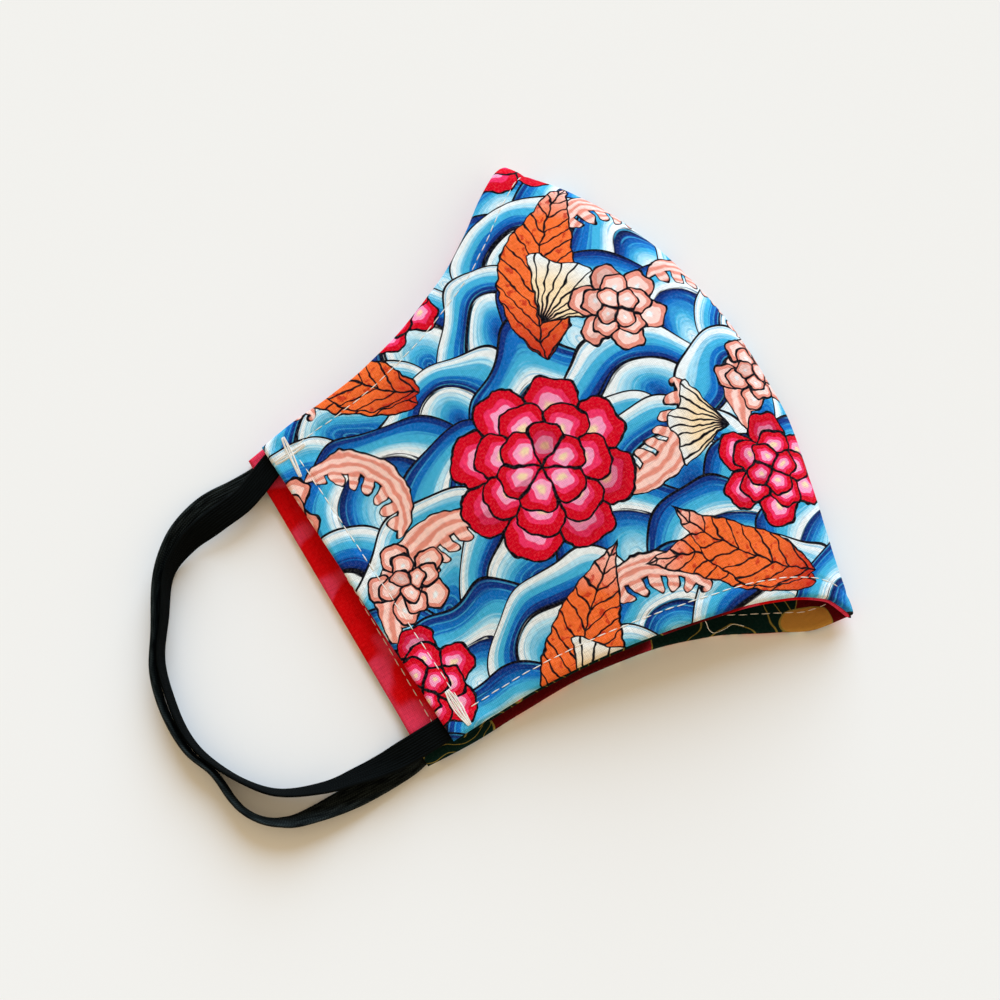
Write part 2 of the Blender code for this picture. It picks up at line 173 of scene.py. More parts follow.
# Painted highlight: how much paler the rib tops of each elastic are painted, much more on the left
# loop
RIB_HIGHLIGHT = {"left": 1.2, "right": 0.1}      # how much the ribs of each elastic show

# Camera: place on the surface under it, its own right and up, and lens in millimetres
CAMERA_X, CAMERA_Y = -19.91 * MM, -52.64 * MM
CAMERA_RIGHT, CAMERA_UP = Vector((0.85173, -0.52399, 0)), Vector((0.51313, 0.83407, 0.2026))
CAMERA_LENS, CAMERA_SENSOR = 43.2, 36

# Lights: metres from the mask up the picture and to its right, and the two tints
KEY_AWAY, KEY_ASIDE = 2.0, 0.3
KEY_TINT, SKY_TINT = (0.707, 1.0, 1.354), (1.25, 1.0, 0.68, 1)


# ---- colours ----

def dye(code):
    """Linear colour of a hex code."""
    parts = [int(code[i:i + 2], 16) / 255 for i in (1, 3, 5)]
    return [c / 12.92 if c <= 0.04045 else ((c + 0.055) / 1.055) ** 2.4 for c in parts] + [1]


def colour_property(name, description, code):
    return bpy.props.FloatVectorProperty(name=name, description=description, size=4, min=0,
                                         max=1, subtype="COLOR", default=dye(code))


def length_property(name, description, millimetres):
    return bpy.props.FloatProperty(name=name, description=description, unit="LENGTH",
                                   subtype="DISTANCE", precision=5,
                                   default=millimetres * MM)


class MaskClothSettings(bpy.types.PropertyGroup):
    """Cloth of the mask: its edges and its folds"""
    rim_round: length_property("Rim rounding", "Roundness of the turned edge", 0.9)
    seam_round: length_property("Seam rounding", "Roundness beside the centre seam", 0.35)
    layer_gap: length_property("Layer gap", "Air left between outer cloth and lining", 0.04)
    ear_hem: length_property("Ear hem", "Ear edge to its stitching", 5.8)
    nose_hem: length_property("Nose hem", "Upper edge to its stitching", 5.3)
    chin_hem: length_property("Chin hem", "Lower edge to its stitching", 4.4)
    peep: length_property("Lining peep", "Lining seen past the arched lower edge", 0.55)
    groove: length_property("Stitch groove", "How deep a line of stitches pulls in", 0.2)
    pucker: length_property("Pucker", "Height of the small ripples along the hems", 0.22)
    tack_pull: length_property("Tack pull", "Height of the gathers round a tack", 0.32)
    billow: length_property("Billow", "Height of the slow waves in the arched half", 0.5)
    weave: length_property("Weave", "From one thread of the cloth to the next", 0.42)


class MaskPrintSettings(bpy.types.PropertyGroup):
    """Colours of the two printed cloths"""
    outline: colour_property("Outline", "Drawn lines of the outer print", "#05040d")
    navy: colour_property("Navy", "Darkest blue of the waves", "#0a2f78")
    blue: colour_property("Blue", "Strong blue of the waves", "#0b68b4")
    cyan: colour_property("Cyan", "Light blue of the waves", "#3fa9cf")
    ice: colour_property("Ice", "Palest blue of the waves", "#a9d8e6")
    white: colour_property("White", "Unprinted cloth", "#e4e8e6")
    crimson: colour_property("Crimson", "Rims of the red rosettes", "#d3001e")
    rose: colour_property("Rose", "Middles of the red rosettes", "#ee2f62")
    pink: colour_property("Pink", "Inner bands of the red rosettes", "#f79cc0")
    cream: colour_property("Cream", "Hearts of rosettes, and the ribbed fans", "#f3d6aa")
    salmon: colour_property("Salmon", "Dark stripes of clouds and small rosettes", "#e08a76")
    blush: colour_property("Blush", "Light stripes of clouds and small rosettes", "#f6cabc")
    orange: colour_property("Orange", "Bodies of the leaves", "#ee6a2c")
    rust: colour_property("Rust", "Shaded parts of the leaves", "#b81c10")
    lining_red: colour_property("Lining red", "Ground of the lining", "#cf050b")
    raspberry: colour_property("Raspberry", "Soft patches of the lining", "#d93550")
    # Maroon is painted shade: it darkens the lining along the chin opening, under the upper half.
    shade_maroon: colour_property("Maroon", "Deep red patches of the lining", "#56060b")
    lining_green: colour_property("Lining green", "Dark areas of the lining", "#07201c")
    tan: colour_property("Tan", "Small patches of the lining", "#b4823a")
    gold: colour_property("Gold", "Thin lines in the dark areas", "#8a7a3a")


class MaskTrimSettings(bpy.types.PropertyGroup):
    """Elastic and sewing thread"""
    ribs: bpy.props.IntProperty(name="Ribs", description="Ribs across the elastic",
                                default=9, min=5, max=20)
    rib_depth: length_property("Rib depth", "Depth of the grooves between ribs", 0.24)
    elastic: colour_property("Elastic", "Ground colour of the elastic", "#030505")
    # Rib light is a painted highlight on the rib tops
    elastic_light: colour_property("Rib light", "Worn tops of the ribs", "#343b39")
    thread: colour_property("Thread", "Sewing thread", "#f6efe4")
    thread_width: length_property("Thread width", "Thickness of the sewing thread", 0.28)
    stitch_length: length_property("Stitch length", "One stitch that shows", 2.2)
    stitch_pitch: length_property("Stitch pitch", "From one stitch to the next", 2.75)


class MaskStageSettings(bpy.types.PropertyGroup):
    """Floor, light and camera"""
    floor_size: length_property("Floor size", "Side of the square floor", 6000)
    floor: colour_property("Floor", "Pale surface under the mask", "#f4f3f0")
    camera_height: length_property("Camera height", "Camera above the surface", 284.53)
    key_power: bpy.props.FloatProperty(name="Key light", description="Strength of the soft "
                                       "light from the top of the picture", default=3.32)
    key_softness: bpy.props.FloatProperty(name="Key softness", description="How wide the key "
                                          "light looks from the mask",
                                          default=math.radians(50), unit="ROTATION")
    key_height: bpy.props.FloatProperty(name="Key height", description="Height of the key "
                                        "light, two metres away along the floor",
                                        default=0.986, unit="LENGTH")
    sky: bpy.props.FloatProperty(name="Sky light", description="Strength of the even light "
                                 "from all round", default=0.53)


# ---- shape of the mask, on arrays ----

def smooth_row(rows, share):
    """Values of a two-column table on a smooth curve that never overshoots."""
    at, value = np.array(rows, float).T
    slope = np.diff(value) / np.diff(at)
    before, after = slope[:-1], slope[1:]
    rising = before * after > 0
    middle = np.where(rising, 2 * before * after / np.where(rising, before + after, 1), 0)
    tangent = np.concatenate(([slope[0]], middle, [slope[-1]]))
    share = np.clip(share, at[0], at[-1])
    i = np.clip(np.searchsorted(at, share, side="right") - 1, 0, len(slope) - 1)
    width = at[i + 1] - at[i]
    t = (share - at[i]) / width
    return ((2 * t ** 3 - 3 * t ** 2 + 1) * value[i]
            + (t ** 3 - 2 * t ** 2 + t) * width * tangent[i]
            + (3 * t ** 2 - 2 * t ** 3) * value[i + 1]
            + (t ** 3 - t ** 2) * width * tangent[i + 1])


def ease(share):
    share = np.clip(share, 0, 1)
    return share * share * (3 - 2 * share)


def between(start, end, share):
    """Points between two points or rows of points."""
    share = np.asarray(share, float)[..., None]
    return start + (end - start) * share


def beside(start, end):
    """Unit vector to the right of the way from start to end."""
    way = (end - start) / np.linalg.norm(end - start)
    return np.array((way[1], -way[0]))


def bowed(start, end, side, rise, share):
    """Line from start to end, bowed to one side by a rise for each share."""
    return between(start, end, share) + side * np.asarray(rise)[..., None]


def plan(half, across, up):
    """Places on the table, filled in between the four edges of a half."""
    seam = bowed(CHIN, NOSE, beside(CHIN, NOSE), SEAM_FULLNESS * smooth_row(SEAM_OUTLINE, up),
                 up)
    nose = bowed(half.high_ear, NOSE, beside(half.high_ear, NOSE),
                 NOSE_EDGE_DIP * smooth_row(NOSE_OUTLINE, across), across)
    chin = bowed(half.low_ear, CHIN, -beside(half.low_ear, CHIN),
                 half.chin_rise * smooth_row(half.chin_outline, across), across)
    ear = between(half.low_ear, half.high_ear, up)
    corners = between(between(half.low_ear, CHIN, across),
                      between(half.high_ear, NOSE, across), up)
    return between(chin, nose, up) + between(ear, seam, across) - corners


def height(half, across, up):
    roll = np.clip(1 - (1 - across) * CHIN_REACH / SEAM_ROLL, 0, 1) ** 2
    if not half.top:
        return SEAM_HEIGHT * roll
    bulge = BULGE_HEIGHT * smooth_row(ARCH_ACROSS, across) * smooth_row(ARCH_UP, up)
    return EAR_TOP - (EAR_TOP - SEAM_HEIGHT) * roll + bulge


def face_points(half, across, up):
    flat = plan(half, across, up)
    return np.concatenate((flat, height(half, across, up)[..., None]), -1)


def inward(half, across, up):
    """Unit normals of a half's outer face, towards the wearer."""
    left, right = np.clip(across - SLOPE_STEP, 0, 1), np.clip(across + SLOPE_STEP, 0, 1)
    low, high = np.clip(up - SLOPE_STEP, 0, 1), np.clip(up + SLOPE_STEP, 0, 1)
    normal = np.cross(face_points(half, right, up) - face_points(half, left, up),
                      face_points(half, across, high) - face_points(half, across, low))
    normal /= np.linalg.norm(normal, axis=-1, keepdims=True)
    return -normal if half.top else normal


def seat_room(across, up):
    """Air between outer cloth and lining, opened round a sewn elastic end."""
    near_ear = 1 - ease((across - SEAT_ACROSS) / (FADE_ACROSS - SEAT_ACROSS))
    from_corner = np.minimum(up, 1 - up)
    near_corner = 1 - ease((from_corner - SEAT_UP) / (FADE_UP - SEAT_UP))
    return CLEAR + (SEAT_GAP - CLEAR) * near_ear * near_corner


def spans(half, across, up):
    """Lengths of a half from ear to seam, and from chin to nose."""
    ends = (np.zeros_like(across), np.ones_like(across))
    wide = np.linalg.norm(plan(half, ends[1], up) - plan(half, ends[0], up), axis=-1)
    tall = np.linalg.norm(plan(half, across, ends[1]) - plan(half, across, ends[0]), axis=-1)
    return wide, tall


def distances(half, across, up):
    """How far places lie from each rim."""
    wide, tall = spans(half, across, up)
    return Spot(across * wide, (1 - across) * wide, up * tall, (1 - up) * tall)


def hump(distance, reach):
    """1 at no distance, falling smoothly to nothing some way past the reach."""
    return np.exp(-((distance / reach) ** 2))


def ripple(along, phase):
    """Uneven waves, from -1 to 1, along a length."""
    turn = 2 * math.pi * along / MM
    return (0.45 * np.sin(turn / 9.3 + phase) + 0.33 * np.sin(turn / 5.9 + 2.3 * phase)
            + 0.22 * np.sin(turn / 15.1 + 4.1 * phase))


def hem_lines(half, across, up, cloth):
    """Distance from each open rim, its hem, the length along it and its own phase."""
    spot = distances(half, across, up)
    place = plan(half, across, up)
    return ((spot.ear, cloth.ear_hem, place[..., 1], 0.4),
            (spot.nose, cloth.nose_hem, place[..., 0], 1.7),
            (spot.chin, cloth.chin_hem, place[..., 0], 2.9))


def lift(half, across, up, cloth):
    """How far both layers stand out from the plain surface of their half."""
    spot = distances(half, across, up)
    place = plan(half, across, up)
    total = np.zeros_like(across)
    for away, hem, along, phase in hem_lines(half, across, up, cloth):
        puff = 0.5 * cloth.pucker * np.sin(np.pi * np.clip(away / hem, 0, 1))
        waves = (0.5 + 0.5 * ripple(along, phase)) * hump(away - hem, 4 * MM)
        total += puff + cloth.pucker * waves
    seam_waves = (0.5 + 0.5 * ripple(place[..., 1], 5.2)) * hump(spot.seam - 2 * MM, 2.2 * MM)
    total += cloth.pucker * 0.6 * seam_waves
    seat = (seat_room(across, up) - CLEAR) / (SEAT_GAP - CLEAR)
    total *= 1 - 0.7 * seat
    if half.top:
        middle = np.sin(np.pi * np.clip(across, 0, 1)) * np.sin(np.pi * np.clip(up, 0, 1))
        x, y = place[..., 0] / MM, place[..., 1] / MM
        slow = np.sin(x / 8.5 + 0.9 * np.sin(y / 13)) * np.sin(y / 11 + 1.3 + 0.6 * np.sin(x / 17))
        return total + cloth.billow * (0.5 + 0.5 * slow) * middle
    return np.clip(total, 0, CLEAR / 3)


def face_relief(half, across, up, cloth):
    """What only the outer face shows: lines pulled in by stitches, and gathers at tacks."""
    if not half.top:
        return np.zeros_like(across)
    total = np.zeros_like(across)
    for away, hem, _, _ in hem_lines(half, across, up, cloth):
        total -= cloth.groove * hump(away - hem, 0.6 * MM)
    place = plan(half, across, up)
    for middle in TACK_MIDDLES:
        x, y = np.moveaxis(place - np.array(middle) * MM, -1, 0)
        away, angle = np.hypot(x, y), np.arctan2(y, x)
        gather = (0.5 + 0.5 * np.sin(5 * angle + 1)) * hump(away - 5 * MM, 2.6 * MM)
        total += cloth.tack_pull * gather
    return total


def layer_points(half, across, up, depth, cloth):
    """Places at a depth behind the outer face, kept to their own side of the seam."""
    stand_out = lift(half, across, up, cloth)
    relief = face_relief(half, across, up, cloth) * np.clip(1 - depth / WALL, 0, 1)
    out = (stand_out + relief) if half.top else 0
    points = face_points(half, across, up) + inward(half, across, up) * (depth - out)[..., None]
    if half.top:
        points[..., 2] = np.maximum(points[..., 2], SEAM_HEIGHT + SEAM_AIR)
    else:
        points[..., 2] = np.minimum(points[..., 2] + stand_out * (1 - across),
                                    SEAM_HEIGHT - SEAM_AIR)
    return points


def rounded(away, radius):
    """How far a rounded rim falls back at a distance from it."""
    inside = np.clip(radius - away, 0, radius)
    return radius - np.sqrt(radius ** 2 - inside ** 2)


def depths(half, across, up, lining, cloth):
    """Depths of the two faces of a layer, rounded where they meet the rims."""
    spot = distances(half, across, up)
    rim = np.minimum(np.minimum(spot.ear, spot.chin), spot.nose)
    room = seat_room(across, up)
    close = (CLEAR - cloth.layer_gap) / 2
    soft = 0.15 * MM
    if lining:
        start = WALL + room - close + rounded(rim, soft)
        end = 2 * WALL + room - rounded(rim, cloth.rim_round)
        return start, end
    start = np.maximum(rounded(rim, cloth.rim_round), rounded(spot.seam, cloth.seam_round))
    end = WALL + close - rounded(rim, soft)
    return start, end


# ---- meshes ----

def record_place(points):
    """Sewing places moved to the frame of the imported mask."""
    return points + np.array(CORNER)


def new_object(name, data):
    made = bpy.data.objects.new(name, data)
    bpy.context.scene.collection.objects.link(made)
    return made


def finish_mesh(name, bm, material):
    """Makes an object of a bmesh, with its place in its mesh."""
    mesh = bpy.data.meshes.new(name)
    bm.to_mesh(mesh)
    bm.free()
    mesh.materials.append(material)
    return new_object(name, mesh)


def finish_piece(name, bm, material):
    """Makes a smooth piece of the mask of a bmesh."""
    bmesh.ops.recalc_face_normals(bm, faces=bm.faces)
    piece = finish_mesh(name, bm, material)
    piece.data.shade_smooth()
    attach(piece, BODY)
    return piece


def stations(lengths, middle):
    """Shares of each length: fine steps at both ends and even ones between."""
    lengths = lengths[:, None]
    even = np.linspace(0, 1, middle + 1)[None, 1:-1]
    inner = RIM_STEPS[-1] + (lengths - 2 * RIM_STEPS[-1]) * even
    steps = np.broadcast_to(RIM_STEPS, (len(lengths), len(RIM_STEPS)))
    return np.concatenate((steps, inner, lengths - steps[:, ::-1]), 1) / lengths


def cloth_places(half):
    """Shares across and up for every vertex of a cloth grid."""
    across_count = 2 * len(RIM_STEPS) + MIDDLE_ACROSS - 1
    up_count = 2 * len(RIM_STEPS) + MIDDLE_UP - 1
    plain_across = stations(np.array([CHIN_REACH]), MIDDLE_ACROSS)[0]
    plain_up = stations(np.array([EAR_EDGE + NOSE_RISE]), MIDDLE_UP)[0]
    wide = spans(half, np.zeros(up_count), plain_up)[0]
    tall = spans(half, plain_across, np.zeros(across_count))[1]
    return stations(wide, MIDDLE_ACROSS).T, stations(tall, MIDDLE_UP)


def cloth_panel(name, half, lining, cloth, material):
    """One layer of one half, bent from a flat slab of fine squares."""
    across, up = cloth_places(half)
    columns, rows = across.shape
    faces = [record_place(layer_points(half, across, up, depth, cloth))
             for depth in depths(half, across, up, lining, cloth)]
    if lining and half.top:
        spot = distances(half, across, up)
        outward = unit(plan(half, across, 0 * up) - plan(half, across, 0 * up + 0.1))
        reach = cloth.peep * hump(spot.chin, 2 * MM)[..., None] * outward
        for face in faces:
            face[..., :2] += reach
    mirrored = np.array((1.0, 1.0) if half.top else (-1.0, 1.0))
    shift = np.zeros(2) if half.top else LEFT_PATTERN_SHIFT
    pattern = (plan(half, across, up) * mirrored - PATTERN_START + shift) / PATTERN_SPAN

    bm = bmesh.new()
    bmesh.ops.create_grid(bm, x_segments=columns - 1, y_segments=rows - 1, size=0.5)
    bmesh.ops.translate(bm, verts=bm.verts, vec=(0.5, 0.5, 0))
    top = bmesh.ops.extrude_face_region(bm, geom=bm.faces[:])
    moved = [part for part in top["geom"] if isinstance(part, bmesh.types.BMVert)]
    bmesh.ops.translate(bm, verts=moved, vec=(0, 0, 1))
    spots = {}
    for vert in bm.verts:
        at = (round(vert.co.x * (columns - 1)), round(vert.co.y * (rows - 1)))
        spots[vert] = at
        vert.co = faces[round(vert.co.z)][at]
    flat = bm.loops.layers.uv.new("flat_pattern")
    for face in bm.faces:
        for loop in face.loops:
            loop[flat].uv = pattern[spots[loop.vert]]
    piece = finish_piece(name, bm, material)
    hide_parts(name.replace("_cloth", "_panel"))
    width, length = np.ptp(plan(half, across, up).reshape(-1, 2), axis=0)
    outline_area(half)
    return piece


def outline_area(half):
    """Area of a half inside its four edges."""
    share = np.linspace(0, 1, 60)
    none, full = np.zeros_like(share), np.ones_like(share)
    edge = np.concatenate((plan(half, share, none), plan(half, full, share),
                           plan(half, share[::-1], full), plan(half, none, share[::-1])))
    x, y = edge.T
    return float(abs(np.dot(x, np.roll(y, 1)) - np.dot(y, np.roll(x, 1))) / 2)


def lengths_along(places):
    """Length of the way to each of a row of places."""
    return np.concatenate(([0], np.cumsum(np.linalg.norm(np.diff(places, axis=0), axis=1))))


def swept(bm, section, places, sides, ups):
    """Adds a closed bar: a section, in metres, carried along a row of places."""
    around, along = len(section), len(places)
    made = bmesh.ops.create_grid(bm, x_segments=around, y_segments=along - 1, size=0.5)
    verts = made["verts"]
    spots = {vert: (round((vert.co.x + 0.5) * around), round((vert.co.y + 0.5) * (along - 1)))
             for vert in verts}
    lengths = lengths_along(places)
    maps = bm.loops.layers.uv
    flat = maps.get("around") or maps.new("around")
    for vert, (i, j) in spots.items():
        wide, thick = section[i % around]
        vert.co = places[j] + sides[j] * wide + ups[j] * thick
    for face in {face for vert in verts for face in vert.link_faces}:
        for loop in face.loops:
            i, j = spots[loop.vert]
            loop[flat].uv = (i / around, lengths[j] / PATTERN_SPAN)
    bmesh.ops.remove_doubles(bm, verts=verts, dist=1e-9)
    rims = [edge for edge in bm.edges if edge.is_boundary]
    bmesh.ops.holes_fill(bm, edges=rims, sides=0)


# ---- elastic ear loops ----

def seat_row(half, up):
    """Sewn end of an elastic, from inside to the ear edge, with its normal."""
    depth = WALL + SEAT_GAP / 2
    wide = np.linalg.norm(plan(half, np.array(1.0), np.array(up))
                          - plan(half, np.array(0.0), np.array(up)))
    rows = []
    for away in (SEAT_DEPTH, SEAT_DEPTH / 2, 0):
        across, height_up = np.array(away / wide), np.array(up)
        place = face_points(half, across, height_up) + inward(half, across, height_up) * depth
        rows.append((place, np.array((0.0, 0.0, 1.0))))
    return rows


def loop_rows(half):
    """Middles of an elastic and its normals, from one sewn end round to the other."""
    start = seat_row(half, 1 - SEAT_INSET_NOSE / EAR_EDGE)
    end = seat_row(half, SEAT_INSET_CHIN / EAR_EDGE)[::-1]
    mouth = start[-1][0]
    flat = [np.array((-out * half.reach, up * EAR_EDGE)) for out, up, _ in half.route]
    befores = [mouth[:2]] + flat[:-1]
    afters = flat[1:] + [end[0][0][:2]]
    free = []
    for (_, _, turn), place, before, after in zip(half.route, flat, befores, afters):
        angle = turn * math.pi / 2
        standing = (BAND_WIDTH * math.sin(angle) + BAND_THICK * math.cos(angle)) / 2
        on_edge = BAND_WIDTH / 2 + BAND_FLOOR_GAP
        sagging = mouth[2] + (on_edge - mouth[2]) * turn
        middle = max(sagging, standing + BAND_FLOOR_GAP)
        side = -beside(before, after) * math.sin(angle)
        free.append((np.array((*place, middle)), np.array((*side, math.cos(angle)))))
    return start + free + end


def around_gap(rows, i):
    """The four rows about the gap after row i, with the end rows repeated."""
    return rows[max(i - 1, 0)], rows[i], rows[i + 1], rows[min(i + 2, len(rows) - 1)]


def smooth_between(before, start, end, after, share):
    """Curve from start to end that also heeds the points on either side."""
    square, cube = share ** 2, share ** 3
    return 0.5 * (2 * start + (end - before) * share
                  + (2 * before - 5 * start + 4 * end - after) * square
                  + (3 * start - before - 3 * end + after) * cube)


def unit(rows):
    return rows / np.linalg.norm(rows, axis=-1, keepdims=True)


def loop_path(half):
    """Fine places, sides and ups of an elastic along its route."""
    rows = loop_rows(half)
    places, normals = [], []
    for i in range(len(rows) - 1):
        four = around_gap(rows, i)
        for share in np.arange(LOOP_STEPS) / LOOP_STEPS:
            places.append(smooth_between(*(row[0] for row in four), share))
            normals.append(smooth_between(*(row[1] for row in four), share))
    places.append(rows[-1][0])
    normals.append(rows[-1][1])
    places, normals = np.array(places), unit(np.array(normals))
    ways = unit(np.gradient(places, axis=0))
    sides = unit(np.cross(ways, normals))
    return places, sides, np.cross(sides, ways)


def ribbed_section(ribs, depth):
    """Outline of the flat elastic, with ribs on both faces and round sides."""
    steps = ribs * 4
    wide = np.linspace(-0.5, 0.5, steps + 1) * (BAND_WIDTH - 0.3 * MM)
    crown = np.abs(np.sin(np.linspace(0, ribs * math.pi, steps + 1)))
    thick = BAND_THICK / 2 - depth * (1 - crown)
    face = list(zip(wide, thick))
    edge = BAND_WIDTH / 2
    return (face + [(edge, 0.12 * MM), (edge, -0.12 * MM)]
            + [(x, -y) for x, y in reversed(face)] + [(-edge, -0.12 * MM), (-edge, 0.12 * MM)])


# ---- thread ----

def line_places(half, rim, lining, cloth):
    """Fine line along a hem on the shown side of a layer, with the normal away from it."""
    hem = getattr(cloth, rim + "_hem")
    share = np.linspace(*STITCHED[rim], 400)
    half_way = np.full_like(share, 0.5)
    wide, _ = spans(half, half_way, share)
    _, tall = spans(half, share, half_way)
    across, up = {"ear": (hem / wide, share), "nose": (share, 1 - hem / tall),
                  "chin": (share, hem / tall)}[rim]
    faces = depths(half, across, up, lining, cloth)
    out = inward(half, across, up) * (1 if lining else -1)
    places = layer_points(half, across, up, faces[1] if lining else faces[0], cloth)
    return record_place(places), out


def add_stitches(bm, places, normals, proud, trim):
    """Sews a row of stitches along a line, standing proud of the cloth by a length."""
    lengths = lengths_along(places)
    count = int(lengths[-1] / trim.stitch_pitch)
    for i in range(count):
        middle = (i + 0.5) * trim.stitch_pitch
        wander = 0.06 * MM * math.sin(i * 2.4)
        here, before, after = (np.array([np.interp(middle + d, lengths, places[:, k])
                                         for k in range(3)])
                               for d in (0, -trim.stitch_length / 2, trim.stitch_length / 2))
        normal = Vector([np.interp(middle, lengths, normals[:, k]) for k in range(3)])
        way = Vector(after - before).normalized()
        side = way.cross(normal).normalized()
        normal = side.cross(way)
        centre = Vector(here) + side * wander + normal * (proud - trim.thread_width / 2)
        size = (trim.stitch_length / 2, trim.thread_width / 2, trim.thread_width / 2)
        turn = Matrix((way, side, normal)).transposed().to_4x4()
        place = Matrix.Translation(centre) @ turn @ Matrix.Diagonal((*size, 1))
        place = place @ Matrix.Rotation(math.pi / 2, 4, "Y")
        bmesh.ops.create_uvsphere(bm, u_segments=6, v_segments=6, radius=1, matrix=place)


def add_strand(bm, points, radius, normal):
    """Lays one round strand through a few points."""
    points = [np.array(p, float) for p in points]
    fine = [smooth_between(*around_gap(points, i), k / STRAND_STEPS)
            for i in range(len(points) - 1) for k in range(STRAND_STEPS)]
    fine = np.array(fine + [points[-1]])
    ways = unit(np.gradient(fine, axis=0))
    sides = unit(np.cross(ways, np.array(normal, float)))
    ups = np.cross(sides, ways)
    angles = np.linspace(0, 2 * math.pi, STRAND_SIDES, endpoint=False)
    section = [(radius * math.cos(a), radius * math.sin(a)) for a in angles]
    swept(bm, section, fine, sides, ups)


def add_tack(bm, half, start, end, strands, width, trim, cloth):
    """Lays close strands of thread between two places of the outer face."""
    start, end = np.array(start) * MM, np.array(end) * MM
    side = beside(start, end)
    radius = trim.thread_width * 0.5
    for i in range(strands):
        offset = (i / (strands - 1) - 0.5) * width * MM
        row = []
        for share, spread, proud in TACK_STRAND:
            wander = 0.12 * MM * math.sin(i * 2.1 + share * 5)
            flat = start + (end - start) * share + side * (offset * spread + wander)
            across, up = nearest_shares(half, flat)
            stands = proud + 0.5 * math.cos(i * 2.4) if half.top else min(proud, -0.4)
            row.append(record_place(layer_points(half, across, up,
                                                 np.array(-stands * radius), cloth)))
        add_strand(bm, row, radius, (0, 0, 1 if half.top else -1))


def nearest_shares(half, flat):
    """Shares across and up of a place on the table."""
    across, up = np.array(0.1), np.array(0.5)
    for _ in range(12):
        here = plan(half, across, up)
        nudge = 1e-4
        slope = np.stack(((plan(half, across + nudge, up) - here) / nudge,
                          (plan(half, across, up + nudge) - here) / nudge), -1)
        move = np.linalg.solve(slope, flat - here)
        across, up = np.clip(across + move[0], 0, 1), np.clip(up + move[1], 0, 1)
    return across, up


# ---- shader helpers ----

class Value:
    """What a shader node gives. Plain signs work on it where it is a number."""
    def __init__(self, tree, socket):
        self.tree, self.socket = tree, socket

    def __add__(self, other):
        return calc(self.tree, "ADD", self, other)

    def __sub__(self, other):
        return calc(self.tree, "SUBTRACT", self, other)

    def __rsub__(self, other):
        return calc(self.tree, "SUBTRACT", other, self)

    def __mul__(self, other):
        return calc(self.tree, "MULTIPLY", self, other)

    def __truediv__(self, other):
        return calc(self.tree, "DIVIDE", self, other)

    def __rtruediv__(self, other):
        return calc(self.tree, "DIVIDE", other, self)

    def __neg__(self):
        return self * -1.0

    def __abs__(self):
        return calc(self.tree, "ABSOLUTE", self)


def feed(value, socket):
    """Links a value to a socket, or sets the socket's own."""
    if isinstance(value, Value):
        value.tree.links.new(value.socket, socket)
    else:
        socket.default_value = value


def worked_out(tree, kind, operation, values, result):
    node = tree.nodes.new(kind)
    node.operation = operation
    for value, socket in zip(values, node.inputs):
        feed(value, socket)
    return Value(tree, node.outputs[result])


def calc(tree, operation, *values):
    return worked_out(tree, "ShaderNodeMath", operation, values, 0)


def vector(tree, operation, *values, result="Vector"):
    return worked_out(tree, "ShaderNodeVectorMath", operation, values, result)


def scaled(tree, place, factor):
    node = tree.nodes.new("ShaderNodeVectorMath")
    node.operation = "SCALE"
    feed(place, node.inputs[0])
    feed(factor, node.inputs["Scale"])
    return Value(tree, node.outputs["Vector"])


def split(tree, place):
    node = tree.nodes.new("ShaderNodeSeparateXYZ")
    feed(place, node.inputs[0])
    return Value(tree, node.outputs[0]), Value(tree, node.outputs[1])


def joined(tree, x, y, z=0.0):
    node = tree.nodes.new("ShaderNodeCombineXYZ")
    for value, socket in zip((x, y, z), node.inputs):
        feed(value, socket)
    return Value(tree, node.outputs[0])


def length_of(tree, place):
    return vector(tree, "LENGTH", place, result="Value")


def from_middle(tree, x, y):
    return calc(tree, "SQRT", x * x + y * y)


def mix(tree, share, below, above):
    node = tree.nodes.new("ShaderNodeMix")
    node.data_type = "RGBA"
    for value, at in ((share, 0), (below, 6), (above, 7)):
        feed(value, node.inputs[at])
    return Value(tree, node.outputs[2])


def step(tree, value, low, high):
    """0 below low and 1 above high, or the other way round where low is the larger."""
    node = tree.nodes.new("ShaderNodeMapRange")
    node.interpolation_type = "SMOOTHSTEP"
    feed(value, node.inputs["Value"])
    feed(low, node.inputs["From Min"])
    feed(high, node.inputs["From Max"])
    return Value(tree, node.outputs[0])


def noise(tree, place, scale, detail, result="Fac"):
    node = tree.nodes.new("ShaderNodeTexNoise")
    feed(place, node.inputs["Vector"])
    feed(scale, node.inputs["Scale"])
    feed(detail, node.inputs["Detail"])
    return Value(tree, node.outputs[result])


def chance(tree, dimensions, socket, value):
    """A random number from 0 to 1 that goes with a value."""
    node = tree.nodes.new("ShaderNodeTexWhiteNoise")
    node.noise_dimensions = dimensions
    feed(value, node.inputs[socket])
    return Value(tree, node.outputs["Value"])


def ramp(tree, value, stops):
    """Colours at places from 0 to 1."""
    node = tree.nodes.new("ShaderNodeValToRGB")
    feed(value, node.inputs[0])
    points = node.color_ramp.elements
    while len(points) < len(stops):
        points.new(0.5)
    for point, (at, colour) in zip(points, stops):
        point.position = at
        point.color = colour
    return Value(tree, node.outputs[0])


def results(tree, node):
    """What a node gives, by the names of its sockets."""
    return {socket.name: Value(tree, socket) for socket in node.outputs}


def start_group(name, inputs, outputs):
    """New node group with named sockets. Returns it with what it is given and makes."""
    group = bpy.data.node_groups.new(name, "ShaderNodeTree")
    kinds = {float: "NodeSocketFloat", tuple: "NodeSocketVector", list: "NodeSocketColor"}
    for label, default in inputs.items():
        socket = group.interface.new_socket(label, in_out="INPUT",
                                            socket_type=kinds[type(default)])
        socket.default_value = default
    for label, kind in outputs.items():
        group.interface.new_socket(label, in_out="OUTPUT", socket_type=kinds[kind])
    given = results(group, group.nodes.new("NodeGroupInput"))
    return group, given, group.nodes.new("NodeGroupOutput").inputs


